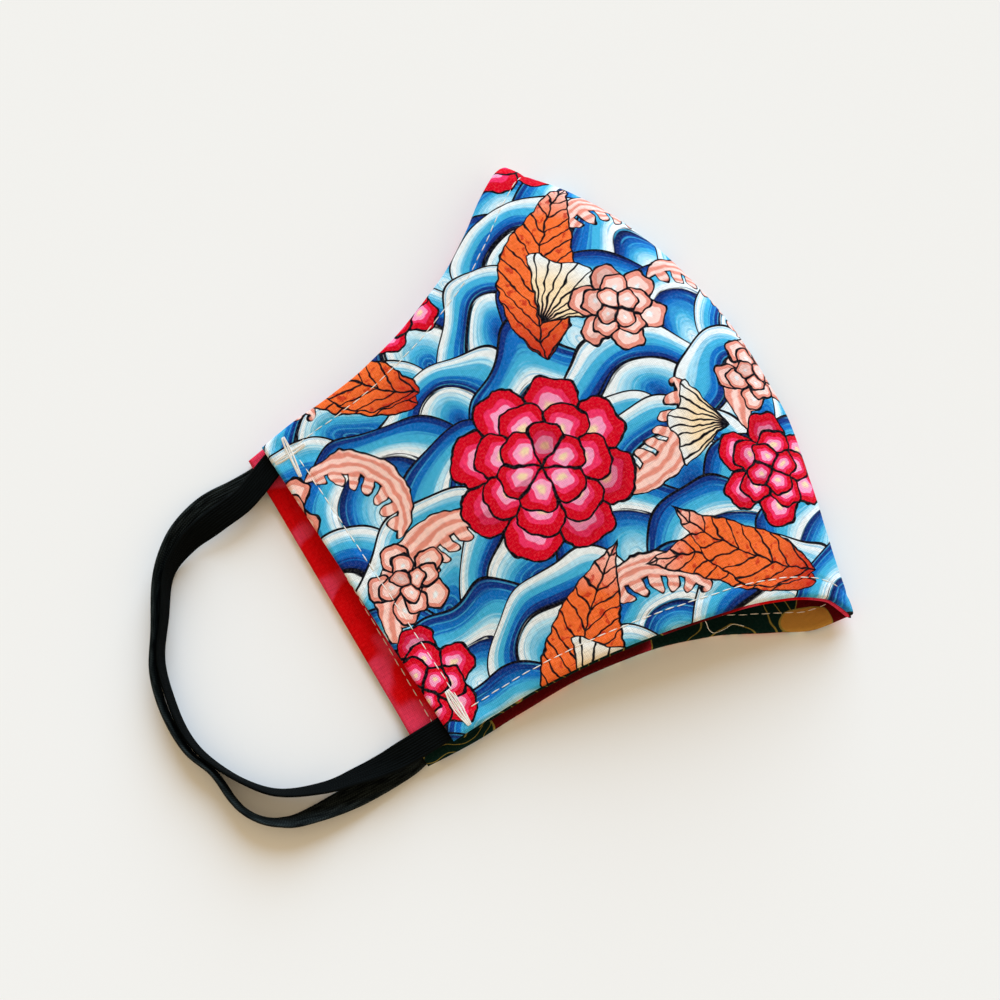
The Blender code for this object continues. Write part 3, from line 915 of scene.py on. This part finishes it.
def use(tree, name, **values):
    """Places a node group and returns its results. A socket's spaces are underscores."""
    node = tree.nodes.new("ShaderNodeGroup")
    node.node_tree = bpy.data.node_groups[name]
    for label, value in values.items():
        feed(value, node.inputs[label.replace("_", " ")])
    return results(tree, node)


# ---- node groups ----

FLAT = (0.0, 0.0, 0.0)
GREY = [0.5, 0.5, 0.5, 1.0]
REPEAT_X, REPEAT_Y, ROW_SHIFT = 96.0, 84.0, 40.0     # of the motifs, in millimetres

# Rings of petals: share of the size out and of a petal's size, fewer petals, turn
PETAL_RINGS = ((0.66, 0.34, 0.0, 0.0), (0.45, 0.29, -1.0, 0.45), (0.24, 0.25, -2.0, 0.2))


def make_repeat(name):
    """Place round the centre of a motif that repeats over the cloth."""
    group, given, made = start_group(
        name, {"Place": FLAT, "Centre": FLAT, "Turn": 0.0, "Repeat X": REPEAT_X,
               "Repeat Y": REPEAT_Y, "Row Shift": ROW_SHIFT}, {"Place": tuple})
    x, y = split(group, vector(group, "SUBTRACT", given["Place"], given["Centre"]))
    rows = calc(group, "FLOOR", y / given["Repeat Y"] + 0.5)
    y = y - rows * given["Repeat Y"]
    x = x - rows * given["Row Shift"]
    edge = given["Repeat X"] * 0.5
    turn = group.nodes.new("ShaderNodeVectorRotate")
    turn.rotation_type = "Z_AXIS"
    feed(joined(group, calc(group, "WRAP", x, edge, -edge), y), turn.inputs["Vector"])
    feed(-given["Turn"], turn.inputs["Angle"])
    feed(results(group, turn)["Vector"], made["Place"])


def make_wobble(name):
    """Place moved a little, so that lines look drawn by hand."""
    group, given, made = start_group(
        name, {"Place": FLAT, "Scale": 0.1, "Amount": 1.0}, {"Place": tuple})
    shift = vector(group, "SUBTRACT",
                   noise(group, given["Place"], given["Scale"], 1.0, "Color"), (0.5, 0.5, 0.5))
    feed(vector(group, "ADD", given["Place"], scaled(group, shift, given["Amount"])),
         made["Place"])


def make_petal_ring(name):
    """One ring of round petals."""
    group, given, made = start_group(
        name, {"Place": FLAT, "Petals": 6.0, "Reach": 10.0, "Petal Size": 6.0, "Turn": 0.0},
        {"Rim": float, "Fold": float, "Chance": float})
    x, y = split(group, given["Place"])
    away = from_middle(group, x, y)
    angle = calc(group, "ARCTAN2", y, x) + given["Turn"]
    sector = math.pi / given["Petals"]
    fold = calc(group, "WRAP", angle, sector, -sector)
    along = away * calc(group, "COSINE", fold) - given["Reach"]
    aside = away * calc(group, "SINE", fold)
    scallop = calc(group, "COSINE", calc(group, "ARCTAN2", aside, along) * 5.0)
    feed(from_middle(group, along, aside) / given["Petal Size"] / (1.0 - scallop * 0.055),
         made["Rim"])
    count = calc(group, "ROUND", (angle - fold) / (sector * 2.0))
    feed(chance(group, "1D", "W", count * given["Petals"]), made["Chance"])
    feed(away * calc(group, "SINE", sector - abs(fold)), made["Fold"])


def make_rosette(name):
    """Three rings of petals, with bands of colour and outlines."""
    group, given, made = start_group(
        name, {"Place": FLAT, "Size": 20.0, "Petals": 7.0, "Line": 0.5, "Outline": GREY,
               "Rim": GREY, "Middle": GREY, "Inner": GREY, "Heart": GREY},
        {"Colour": list, "Mask": float})
    colour, mask = None, None
    for reach, size, fewer, turn in PETAL_RINGS:
        petal = given["Size"] * size
        ring = use(group, "Petal ring", Place=given["Place"], Petals=given["Petals"] + fewer,
                   Reach=given["Size"] * reach, Petal_Size=petal, Turn=turn)
        rim = ring["Rim"]
        shade = mix(group, step(group, rim, 0.08, 0.26), given["Heart"], given["Inner"])
        shade = mix(group, step(group, rim, 0.38, 0.43), shade, given["Middle"])
        shade = mix(group, step(group, rim, 0.58, 0.63), shade, given["Rim"])
        deep = mix(group, 0.45, given["Rim"], given["Outline"])
        shaded = step(group, ring["Chance"], 0.5, 0.9) * step(group, rim, 1.0, 0.5)
        shade = mix(group, shaded * 0.5, shade, deep)
        line = 1.0 - given["Line"] / petal
        edge = step(group, rim, line - 0.02, line)
        crease = step(group, ring["Fold"], given["Line"], given["Line"] * 0.5)
        shade = mix(group, calc(group, "MAXIMUM", edge, crease), shade, given["Outline"])
        cover = step(group, rim, 1.01, 0.99)
        colour = shade if colour is None else mix(group, cover, colour, shade)
        mask = cover if mask is None else calc(group, "MAXIMUM", mask, cover)
    feed(colour, made["Colour"])
    feed(mask, made["Mask"])


def make_fans(name):
    """Overlapping round fans in rows, each with its own chance."""
    group, given, made = start_group(name, {"Place": FLAT, "Size": 15.0},
                                     {"Ring": float, "Chance": float, "Sweep": float})
    size = given["Size"]
    x, y = split(group, vector(group, "DIVIDE", given["Place"], joined(group, size, size, 1.0)))
    lowest = calc(group, "FLOOR", (y - 1.0) * 2.0) + 1.0
    shown = None
    for k in (2.0, 1.0, 0.0):
        row = lowest + k
        moved = x - calc(group, "FLOORED_MODULO", row, 2.0)
        local_x = calc(group, "WRAP", moved, 1.0, -1.0)
        local_y = y - row * 0.5
        away = from_middle(group, local_x, local_y)
        fan = (away, chance(group, "2D", "Vector", joined(group, moved - local_x, row)),
               calc(group, "ARCTAN2", local_x, local_y))
        if shown is None:
            shown = fan
            continue
        cover = calc(group, "LESS_THAN", away, 1.0)
        keep = 1.0 - cover
        shown = [old * keep + new * cover for old, new in zip(shown, fan)]
    for value, label in zip(shown, ("Ring", "Chance", "Sweep")):
        feed(value, made[label])


def make_cloud(name):
    """A curved cloud with bent, rounded fingers along its inner edge."""
    group, given, made = start_group(
        name, {"Place": FLAT, "Radius": 18.0, "Half Width": 4.5, "Half Angle": 1.2,
               "Pitch": 4.6}, {"Inside": float, "Across": float})
    x, y = split(group, given["Place"])
    over = length_of(group, given["Place"]) - given["Radius"]
    angle = calc(group, "ARCTAN2", y, x)
    share = angle / given["Half Angle"]
    taper = (calc(group, "SQRT", calc(group, "MAXIMUM", 1.0 - share * share, 0.0))
             * given["Half Width"])
    bent = calc(group, "MULTIPLY_ADD", over * over, 0.06, angle * given["Radius"])
    off_middle = calc(group, "PINGPONG", bent, given["Pitch"] * 0.5)
    blunt = calc(group, "MINIMUM", given["Pitch"] * 0.41, taper * 0.7)
    beyond = calc(group, "MAXIMUM", blunt - taper - over, 0.0)
    finger = blunt - length_of(group, joined(group, off_middle, beyond))
    band = calc(group, "MULTIPLY_ADD", taper, 0.2, over)
    feed(calc(group, "MINIMUM", taper - over, calc(group, "MAXIMUM", band, finger)),
         made["Inside"])
    feed(over / given["Half Width"], made["Across"])


def make_leaf(name):
    """A bent leaf with a middle rib and slanting veins."""
    group, given, made = start_group(
        name, {"Place": FLAT, "Length": 40.0, "Width": 16.0, "Bend": 0.01},
        {"Inside": float, "Along": float, "Vein": float})
    x, y = split(group, given["Place"])
    from_rib = abs(y + given["Bend"] * (x * x))
    along = x / given["Length"] + 0.5
    held = calc(group, "MINIMUM", calc(group, "MAXIMUM", along, 0.0), 1.0)
    full = calc(group, "SINE", calc(group, "POWER", held, 0.75) * math.pi)
    slant = calc(group, "FRACT", x * 0.24 - from_rib * 0.26)
    feed(full * (given["Width"] * 0.5) - from_rib, made["Inside"])
    feed(along, made["Along"])
    feed(calc(group, "MINIMUM", from_rib, (0.5 - abs(slant - 0.5)) * 3.2), made["Vein"])


def make_ribbed_fan(name):
    """An open fan with ribs and a wavy rim."""
    group, given, made = start_group(
        name, {"Place": FLAT, "Size": 18.0, "Half Angle": 0.9},
        {"Inside": float, "Away": float, "Vein": float})
    x, y = split(group, given["Place"])
    away = from_middle(group, x, y)
    angle = calc(group, "ARCTAN2", y, x)
    wavy = given["Size"] * (calc(group, "COSINE", angle * 9.0) * 0.06 + 0.94)
    open_to = (given["Half Angle"] - abs(angle)) * away
    ribs = 5.2
    rib = abs(calc(group, "FRACT", angle * ribs) - 0.5)
    feed(calc(group, "MINIMUM", wavy - away, open_to), made["Inside"])
    feed(away / given["Size"], made["Away"])
    feed(rib * (away / ribs), made["Vein"])


def make_patch(name):
    """A round or oval patch."""
    group, given, made = start_group(name, {"Place": FLAT, "Length": 10.0, "Width": 10.0},
                                     {"Inside": float})
    ratio = joined(group, 2.0 / given["Length"], 2.0 / given["Width"])
    away = length_of(group, vector(group, "MULTIPLY", given["Place"], ratio))
    feed((1.0 - away) * (given["Width"] * 0.5), made["Inside"])


def make_weave(name):
    """Threads of the cloth, over and under."""
    group, given, made = start_group(name, {"Place": FLAT, "Pitch": 0.36},
                                     {"Height": float, "Shade": float})
    uneven = use(group, "Hand drawn", Place=given["Place"], Scale=0.8, Amount=0.12)["Place"]
    x, y = split(group, uneven)
    turn = math.pi / given["Pitch"]
    crossing = abs(calc(group, "SINE", x * turn) * calc(group, "SINE", y * turn))
    slub_x, slub_y = (
        noise(group, vector(group, "MULTIPLY", given["Place"], stretch), 1.0, 1.0)
        for stretch in ((0.25, 2.6, 1.0), (2.6, 0.25, 1.0)))
    slub = (slub_x + slub_y) * 0.5
    feed(crossing + slub, made["Height"])
    feed(crossing * 0.5 + slub, made["Shade"])


GROUPS = {"Motif place": make_repeat, "Hand drawn": make_wobble,
          "Petal ring": make_petal_ring, "Rosette": make_rosette, "Wave fans": make_fans,
          "Cloud arc": make_cloud, "Leaf": make_leaf, "Ribbed fan": make_ribbed_fan,
          "Patch": make_patch, "Plain weave": make_weave}


def build_groups():
    """Makes the node groups that aren't there yet."""
    for name, build in GROUPS.items():
        if name not in bpy.data.node_groups:
            build(name)


# ---- materials ----

# Motifs of the outer print. Each starts with its centre on the flat cloth, in millimetres,
# and its turn. Clouds then have a radius, a half width and a half angle.
CLOUDS = ((70, 62, 2.0, 21.0, 6.4, 0.95), (118, 88, -1.2, 17.0, 5.6, 1.1),
          (52, 98, 0.5, 13.0, 5.0, 1.3), (101, 37, 1.2, 14.0, 5.2, 1.0))
# Length, width and bend
LEAVES = ((124, 128, 0.9, 50.0, 19.0, 0.008), (68, 128, 2.5, 40.0, 15.0, -0.010),
          (126, 44, 2.2, 36.0, 14.0, 0.010))
# Size
RIBBED_FANS = ((76, 30, 0.4, 19.0), (141, 70, 2.6, 15.0))
# Size, petals, and dyes from the rim to the heart
SALMON_DYES = ("salmon", "blush", "blush", "white")
CRIMSON_DYES = ("crimson", "rose", "pink", "cream")
ROSETTES = ((134, 108, 0.3, 12.0, 6.0, SALMON_DYES), (58, 78, 0.3, 10.0, 5.0, SALMON_DYES),
            (98, 84, 0.1, 22.0, 8.0, CRIMSON_DYES), (88, 140, 0.1, 14.0, 6.0, CRIMSON_DYES))

# Patches of the lining: centre, turn, length, width and dye. The soft ones lie further apart.
# The maroon patches are painted shade that darkens the lining along the chin opening, under the
# upper half.
SOFT_PATCHES = ((157, 122, 0.05, 10.0, 8.0, "raspberry"), (124, 40, 0.05, 58.0, 15.0, "shade_maroon"),
                (62, 24, 0.05, 24.0, 17.0, "shade_maroon"))
SOFT_REPEAT_Y = 210.0
DRAWN_PATCHES = ((82, 34, -0.1, 40.0, 26.0, "dark"), (67, 22, 0.45, 14.0, 7.0, "tan"),
                 (152, 40, 0.0, 20.0, 9.0, "dark"), (118, 66, 0.8, 26.0, 18.0, "dark"))

OUTLINE_WIDTH, GOLD_WIDTH = 0.55, 0.3       # of the drawn lines, in millimetres
OUTER_FLUFF, LINING_FLUFF = 0.03, 0.006     # how far worn threads turn pale


def new_material(name, roughness, sheen, shine=0.02):
    """Material with its shader, ready to be painted."""
    material = bpy.data.materials.new(name)
    material.use_nodes = True
    tree = material.node_tree
    shader = tree.nodes["Principled BSDF"].inputs
    for label, value in (("Roughness", roughness), ("Sheen Weight", sheen),
                         ("Sheen Roughness", 0.5), ("Specular IOR Level", shine)):
        shader[label].default_value = value
    return material, tree, shader


def mapped_place(tree, name):
    """Place in a pattern map, as it is stored."""
    node = tree.nodes.new("ShaderNodeUVMap")
    node.uv_map = name
    return Value(tree, node.outputs[0])


def object_place(tree):
    return results(tree, tree.nodes.new("ShaderNodeTexCoord"))["Object"]


def bumped(tree, height_value, strength, distance):
    node = tree.nodes.new("ShaderNodeBump")
    node.inputs["Strength"].default_value = strength
    node.inputs["Distance"].default_value = distance
    feed(height_value, node.inputs["Height"])
    return Value(tree, node.outputs[0])


def finish_cloth(tree, shader, colour, place, cloth, fluff):
    """Weave over the print, in its colour and relief, with a share of pale fluff."""
    threads = use(tree, "Plain weave", Place=place, Pitch=cloth.weave / MM)
    shade = step(tree, threads["Shade"], 0.15, 0.95)
    worn = step(tree, noise(tree, place, 1.9, 2.0), 0.42, 0.68)
    tone = shade * 0.60 + 0.57 + worn * 0.13
    feed(mix(tree, worn * shade * fluff, scaled(tree, colour, tone), (1.0, 1.0, 1.0, 1)),
         shader["Base Color"])
    feed(bumped(tree, threads["Height"], 0.35, 0.12 * MM), shader["Normal"])


def wave_ground(tree, place, colours):
    """Overlapping fans of painted rings, in blues and white."""
    c = colours
    flowing = use(tree, "Hand drawn", Place=place, Scale=0.03, Amount=26.0)["Place"]
    fans = use(tree, "Wave fans", Place=flowing, Size=21.0)
    streaks = noise(tree, joined(tree, fans["Ring"] * 62.0, fans["Sweep"] * 1.3,
                                 fans["Chance"] * 37.0), 0.7, 3.0)
    ring = fans["Ring"] + (streaks - 0.5) * 0.16
    pale_rim = ramp(tree, ring, (
        (0.00, c.navy), (0.14, c.blue), (0.26, c.cyan), (0.38, c.ice), (0.45, c.white),
        (0.50, c.white), (0.515, c.outline), (0.55, c.outline), (0.58, c.navy),
        (0.62, c.navy), (0.66, c.blue), (0.71, c.blue), (0.75, c.cyan), (0.82, c.cyan),
        (0.87, c.ice), (0.92, c.white), (1.00, c.white)))
    deep_rim = ramp(tree, ring, (
        (0.00, c.white), (0.12, c.ice), (0.24, c.cyan), (0.34, c.blue), (0.44, c.navy),
        (0.50, c.outline), (0.515, c.white), (0.56, c.white), (0.62, c.ice),
        (0.68, c.cyan), (0.76, c.cyan), (0.81, c.blue), (0.87, c.blue), (0.92, c.navy),
        (0.96, c.navy), (1.00, c.outline)))
    colour = mix(tree, calc(tree, "GREATER_THAN", fans["Chance"], 0.5), pale_rim, deep_rim)
    fine = abs(calc(tree, "FRACT", fans["Ring"] * 13.0) - 0.5)
    here = step(tree, fine, 0.14, 0.07) * step(tree, noise(tree, flowing, 0.06, 0.0),
                                               0.42, 0.56)
    colour = mix(tree, here * 0.55, colour, c.cyan)
    return mix(tree, step(tree, fans["Ring"], 0.972, 0.98), colour, c.outline)


class Dyes:
    """Colours of the prints as plain tuples."""
    def __init__(self, settings):
        for name in settings.__annotations__:
            setattr(self, name, tuple(getattr(settings, name)))


def motif(tree, place, spot, kind, repeat_y=REPEAT_Y, **values):
    """One kind of motif, round its centre and at its turn."""
    x, y, turn = spot
    place = use(tree, "Motif place", Place=place, Centre=(x, y, 0), Turn=turn,
                Repeat_Y=repeat_y)["Place"]
    return use(tree, kind, Place=place, **values)


def over(tree, ground, colour, inside, line, outline):
    """Lays a drawn shape on the ground, with its outline."""
    drawn = mix(tree, step(tree, inside, line, line * 0.6), colour, outline)
    return mix(tree, step(tree, inside, -0.03, 0.03), ground, drawn)


def outer_print(name, settings, cloth):
    """Printed outer cloth: wave fans, cloud arcs, leaves, ribbed fans and rosettes."""
    material, tree, shader = new_material(name, 0.85, 0.012)
    c = Dyes(settings)
    place = scaled(tree, mapped_place(tree, "flat_pattern"), PATTERN_SPAN / MM)
    hand = use(tree, "Hand drawn", Place=place, Scale=0.16, Amount=2.2)["Place"]
    hand = use(tree, "Hand drawn", Place=hand, Scale=0.35, Amount=1.5)["Place"]
    colour = wave_ground(tree, place, c)
    for *spot, radius, width, angle in CLOUDS:
        arc = motif(tree, hand, spot, "Cloud arc", Radius=radius, Half_Width=width,
                    Half_Angle=angle, Pitch=4.6)
        stripe = calc(tree, "FRACT", arc["Across"] * 2.5)
        paint = ramp(tree, stripe, ((0.0, c.blush), (0.35, c.blush), (0.5, c.salmon),
                                    (0.8, c.salmon), (1.0, c.blush)))
        colour = over(tree, colour, paint, arc["Inside"], OUTLINE_WIDTH, c.outline)
    for *spot, length, width, bend in LEAVES:
        leaf = motif(tree, hand, spot, "Leaf", Length=length, Width=width, Bend=bend)
        paint = ramp(tree, leaf["Along"], ((0.0, c.rust), (0.3, c.orange), (0.75, c.orange),
                                           (1.0, c.blush)))
        mottle = step(tree, noise(tree, hand, 0.55, 3.0), 0.56, 0.66)
        paint = mix(tree, mottle * 0.75, paint, c.rust)
        paint = mix(tree, step(tree, leaf["Vein"], 0.34, 0.14), paint, c.outline)
        colour = over(tree, colour, paint, leaf["Inside"], OUTLINE_WIDTH, c.outline)
    for *spot, size in RIBBED_FANS:
        fan = motif(tree, hand, spot, "Ribbed fan", Size=size, Half_Angle=0.8)
        paint = ramp(tree, fan["Away"], ((0.0, c.salmon), (0.25, c.cream), (0.6, c.cream),
                                         (0.95, c.white)))
        paint = mix(tree, step(tree, fan["Vein"], 0.32, 0.16), paint, c.outline)
        colour = over(tree, colour, paint, fan["Inside"], OUTLINE_WIDTH, c.outline)
    for *spot, size, petals, dyes in ROSETTES:
        rim, middle, inner, heart = (getattr(c, dye_name) for dye_name in dyes)
        flower = motif(tree, hand, spot, "Rosette", Size=size, Petals=petals,
                       Outline=c.outline, Rim=rim, Middle=middle, Inner=inner, Heart=heart)
        colour = mix(tree, flower["Mask"], colour, flower["Colour"])
    finish_cloth(tree, shader, colour, place, cloth, OUTER_FLUFF)
    return material


def lining_print(name, settings, cloth):
    """Printed lining: red with soft patches, maroon patches of painted shade by the chin opening,
    and dark areas with fine gold lines.
    """
    material, tree, shader = new_material(name, 0.87, 0.008)
    c = Dyes(settings)
    place = scaled(tree, mapped_place(tree, "flat_pattern"), PATTERN_SPAN / MM)
    hand = use(tree, "Hand drawn", Place=place, Scale=0.16, Amount=2.2)["Place"]
    patches = step(tree, noise(tree, place, 0.07, 1.0), 0.5, 0.56)
    colour = mix(tree, patches, c.lining_red, c.raspberry)
    # Soft patches: raspberry is print, and maroon is painted shade in the chin opening.
    for *spot, length, width, dye_name in SOFT_PATCHES:
        patch = motif(tree, hand, spot, "Patch", SOFT_REPEAT_Y, Length=length, Width=width)
        colour = mix(tree, step(tree, patch["Inside"], -0.5, 2.0), colour,
                     getattr(c, dye_name))
    veins = abs(calc(tree, "FRACT", noise(tree, hand, 0.07, 0.0) * 11.0) - 0.5)
    c.dark = mix(tree, step(tree, veins, 0.06, 0.02), c.lining_green, c.gold)
    for *spot, length, width, dye_name in DRAWN_PATCHES:
        patch = motif(tree, hand, spot, "Patch", Length=length, Width=width)
        colour = over(tree, colour, getattr(c, dye_name), patch["Inside"], GOLD_WIDTH, c.gold)
    finish_cloth(tree, shader, colour, place, cloth, LINING_FLUFF)
    return material


def elastic_finish(name, trim, worn):
    """Black braided elastic with a fine slanting braid, its rib tops painted paler as a highlight.
    """
    material, tree, shader = new_material(name, 0.55, 0.0, 0.03)
    u, v = split(tree, mapped_place(tree, "around"))
    around, along = u * (trim.ribs * 2.09), v * (PATTERN_SPAN / MM)
    slant = calc(tree, "SINE",
                 (along * 1.7 + calc(tree, "PINGPONG", around, 1.0)) * (2 * math.pi))
    wear_and_highlight = noise(tree, joined(tree, around * 2.0, along * 0.25), 1.0, 3.0)
    # braid is the share of painted highlight on the rib tops. worn sets its strength for this
    # elastic, and the noise breaks it up and also varies roughness.
    braid = (slant * 0.3 + 0.5) * (step(tree, wear_and_highlight, 0.3, 0.75) * worn)
    feed(mix(tree, braid, tuple(trim.elastic), tuple(trim.elastic_light)),
         shader["Base Color"])
    feed(wear_and_highlight * 0.3 + 0.45, shader["Roughness"])
    feed(bumped(tree, slant, 0.5, 0.06 * MM), shader["Normal"])
    return material


def thread_finish(name, trim):
    """Spun cream thread with a fine twist."""
    material, tree, shader = new_material(name, 0.7, 0.1)
    thread = tuple(trim.thread)
    fibre = noise(tree, scaled(tree, object_place(tree), 1 / MM), 3.0, 3.0)
    shade = mix(tree, 0.28, thread, (0.35, 0.28, 0.2, 1))
    feed(mix(tree, step(tree, fibre, 0.3, 0.65), shade, thread), shader["Base Color"])
    feed(bumped(tree, fibre, 0.5, 0.1 * MM), shader["Normal"])
    return material


def floor_finish(name, stage):
    """Plain pale surface with a faint change of tone."""
    material, tree, shader = new_material(name, 0.9, 0.0)
    pale = tuple(stage.floor)
    tone = noise(tree, object_place(tree), 9.0, 2.0)
    warm = mix(tree, 0.05, pale, (0.72, 0.66, 0.55, 1))
    feed(mix(tree, tone, pale, warm), shader["Base Color"])
    return material


# ---- operators ----

class MASK_OT_outer_panels(bpy.types.Operator):
    """Makes the printed outer cloth of both halves"""
    bl_idname = "mask.outer_panels"
    bl_label = "Outer cloth"

    def execute(self, context):
        build_groups()
        cloth = context.scene.mask_cloth
        material = outer_print("outer_print", context.scene.mask_print, cloth)
        for half in HALVES:
            cloth_panel(half.side + "_outer_cloth", half, False, cloth, material)
        return {"FINISHED"}


class MASK_OT_lining_panels(bpy.types.Operator):
    """Makes the printed lining of both halves"""
    bl_idname = "mask.lining_panels"
    bl_label = "Lining"

    def execute(self, context):
        build_groups()
        cloth = context.scene.mask_cloth
        material = lining_print("lining_print", context.scene.mask_print, cloth)
        for half in HALVES:
            cloth_panel(half.side + "_lining_cloth", half, True, cloth, material)
        return {"FINISHED"}


class MASK_OT_ear_loops(bpy.types.Operator):
    """Makes the two ribbed elastic ear loops"""
    bl_idname = "mask.ear_loops"
    bl_label = "Ear loops"

    def execute(self, context):
        trim = context.scene.mask_trim
        for half in HALVES:
            material = elastic_finish(half.side + "_elastic_braid", trim,
                                      RIB_HIGHLIGHT[half.side])
            places, sides, ups = loop_path(half)
            bm = bmesh.new()
            swept(bm, ribbed_section(trim.ribs, trim.rib_depth), record_place(places), sides,
                  ups)
            piece = finish_piece(half.side + "_ear_elastic", bm, material)
            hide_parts(half.side + "_ear_loop")
        return {"FINISHED"}


class MASK_OT_topstitching(bpy.types.Operator):
    """Sews the lines of stitches along the hems, on the cloth and on the lining"""
    bl_idname = "mask.topstitching"
    bl_label = "Topstitching"

    def execute(self, context):
        cloth, trim = context.scene.mask_cloth, context.scene.mask_trim
        material = thread_finish("cream_thread", trim)
        for half in HALVES:
            for lining in (False, True):
                bm = bmesh.new()
                resting = not half.top and not lining
                proud = trim.thread_width * (0.2 if resting else 0.4 if lining else 0.7)
                for rim in STITCHED:
                    places, normals = line_places(half, rim, lining, cloth)
                    add_stitches(bm, places, normals, proud, trim)
                layer = "lining" if lining else "outer"
                finish_piece(half.side + "_" + layer + "_stitches", bm, material)
        return {"FINISHED"}


class MASK_OT_corner_tacks(bpy.types.Operator):
    """Sews the crossed tack and the bar tack that hold the elastic ends"""
    bl_idname = "mask.corner_tacks"
    bl_label = "Corner tacks"

    def execute(self, context):
        cloth, trim = context.scene.mask_cloth, context.scene.mask_trim
        material = thread_finish("cream_tack_thread", trim)
        for half in HALVES:
            bm = bmesh.new()
            for tack in TACKS:
                add_tack(bm, half, *tack, trim, cloth)
            finish_piece(half.side + "_corner_tacks", bm, material)
        return {"FINISHED"}


class MASK_OT_loose_thread(bpy.types.Operator):
    """Leaves an uncut end of thread hanging from the chin edge"""
    bl_idname = "mask.loose_thread"
    bl_label = "Loose thread"

    def execute(self, context):
        trim = context.scene.mask_trim
        bm = bmesh.new()
        route = [record_place(np.array(place) * MM) for place in LOOSE_THREAD]
        add_strand(bm, route, trim.thread_width * 0.3, (0.3, 1, 0))
        finish_piece("loose_thread", bm, thread_finish("cream_loose_thread", trim))
        return {"FINISHED"}


class MASK_OT_stage(bpy.types.Operator):
    """Sets the floor, the soft light and the camera"""
    bl_idname = "mask.stage"
    bl_label = "Stage"

    def execute(self, context):
        scene, stage = context.scene, context.scene.mask_stage
        scene.view_settings.view_transform = "Standard"
        bm = bmesh.new()
        bmesh.ops.create_grid(bm, x_segments=4, y_segments=4, size=stage.floor_size / 2)
        bmesh.ops.translate(bm, verts=bm.verts, vec=(0, 0, -FLOOR_GAP))
        finish_mesh("floor", bm, floor_finish("pale_surface", stage))

        camera = new_object("camera", bpy.data.cameras.new("camera"))
        camera.data.sensor_width, camera.data.lens = CAMERA_SENSOR, CAMERA_LENS
        camera.data.clip_start = 0.01
        turned = Matrix((CAMERA_RIGHT, CAMERA_UP, CAMERA_RIGHT.cross(CAMERA_UP))).transposed()
        camera.matrix_world = Matrix.Translation(
            (CAMERA_X, CAMERA_Y, stage.camera_height)) @ turned.to_4x4()
        scene.camera = camera

        picture_up = Vector((*CAMERA_UP.xy, 0)).normalized()
        lamp = new_object("soft_key", bpy.data.lights.new("soft_key", "SUN"))
        lamp.data.energy, lamp.data.angle = stage.key_power, stage.key_softness
        lamp.data.color = KEY_TINT
        lamp.location = (picture_up * KEY_AWAY + CAMERA_RIGHT * KEY_ASIDE
                         + Vector((0, 0, stage.key_height)))
        lamp.rotation_euler = lamp.location.to_track_quat("Z", "Y").to_euler()

        sky = bpy.data.worlds.new("even_light")
        sky.use_nodes = True
        nodes, links = sky.node_tree.nodes, sky.node_tree.links
        light = nodes["Background"]
        light.inputs["Color"].default_value = SKY_TINT
        light.inputs["Strength"].default_value = stage.sky
        backdrop = nodes.new("ShaderNodeBackground")
        backdrop.inputs["Color"].default_value = tuple(stage.floor)
        seen = nodes.new("ShaderNodeLightPath").outputs["Is Camera Ray"]
        choice = nodes.new("ShaderNodeMixShader")
        for source, socket in ((seen, choice.inputs[0]), (light.outputs[0], choice.inputs[1]),
                               (backdrop.outputs[0], choice.inputs[2]),
                               (choice.outputs[0], nodes["World Output"].inputs["Surface"])):
            links.new(source, socket)
        scene.world = sky
        return {"FINISHED"}


OPERATORS = (MASK_OT_stage, MASK_OT_ear_loops, MASK_OT_outer_panels, MASK_OT_lining_panels,
             MASK_OT_topstitching, MASK_OT_corner_tacks, MASK_OT_loose_thread)


class MASK_PT_pieces(bpy.types.Panel):
    """Lists the mask's pieces"""
    bl_idname = "MASK_PT_pieces"
    bl_label = "Face mask"
    bl_space_type = "VIEW_3D"
    bl_region_type = "UI"
    bl_category = "Mask"

    def draw(self, context):
        for operator in OPERATORS:
            self.layout.operator(operator.bl_idname)


SETTINGS = {"mask_cloth": MaskClothSettings, "mask_print": MaskPrintSettings,
            "mask_trim": MaskTrimSettings, "mask_stage": MaskStageSettings}
CLASSES = (*SETTINGS.values(), *OPERATORS, MASK_PT_pieces)


def register():
    for entry in CLASSES:
        bpy.utils.register_class(entry)
    for name, settings in SETTINGS.items():
        setattr(bpy.types.Scene, name, bpy.props.PointerProperty(type=settings))


def unregister():
    for name in SETTINGS:
        delattr(bpy.types.Scene, name)
    for entry in reversed(CLASSES):
        bpy.utils.unregister_class(entry)


def main():
    """Makes every piece and the stage."""
    register()
    bpy.ops.mask.stage()
    bpy.ops.mask.ear_loops()
    bpy.ops.mask.outer_panels()
    bpy.ops.mask.lining_panels()
    bpy.ops.mask.topstitching()
    bpy.ops.mask.corner_tacks()
    bpy.ops.mask.loose_thread()


if __name__ == "__main__":
    main()
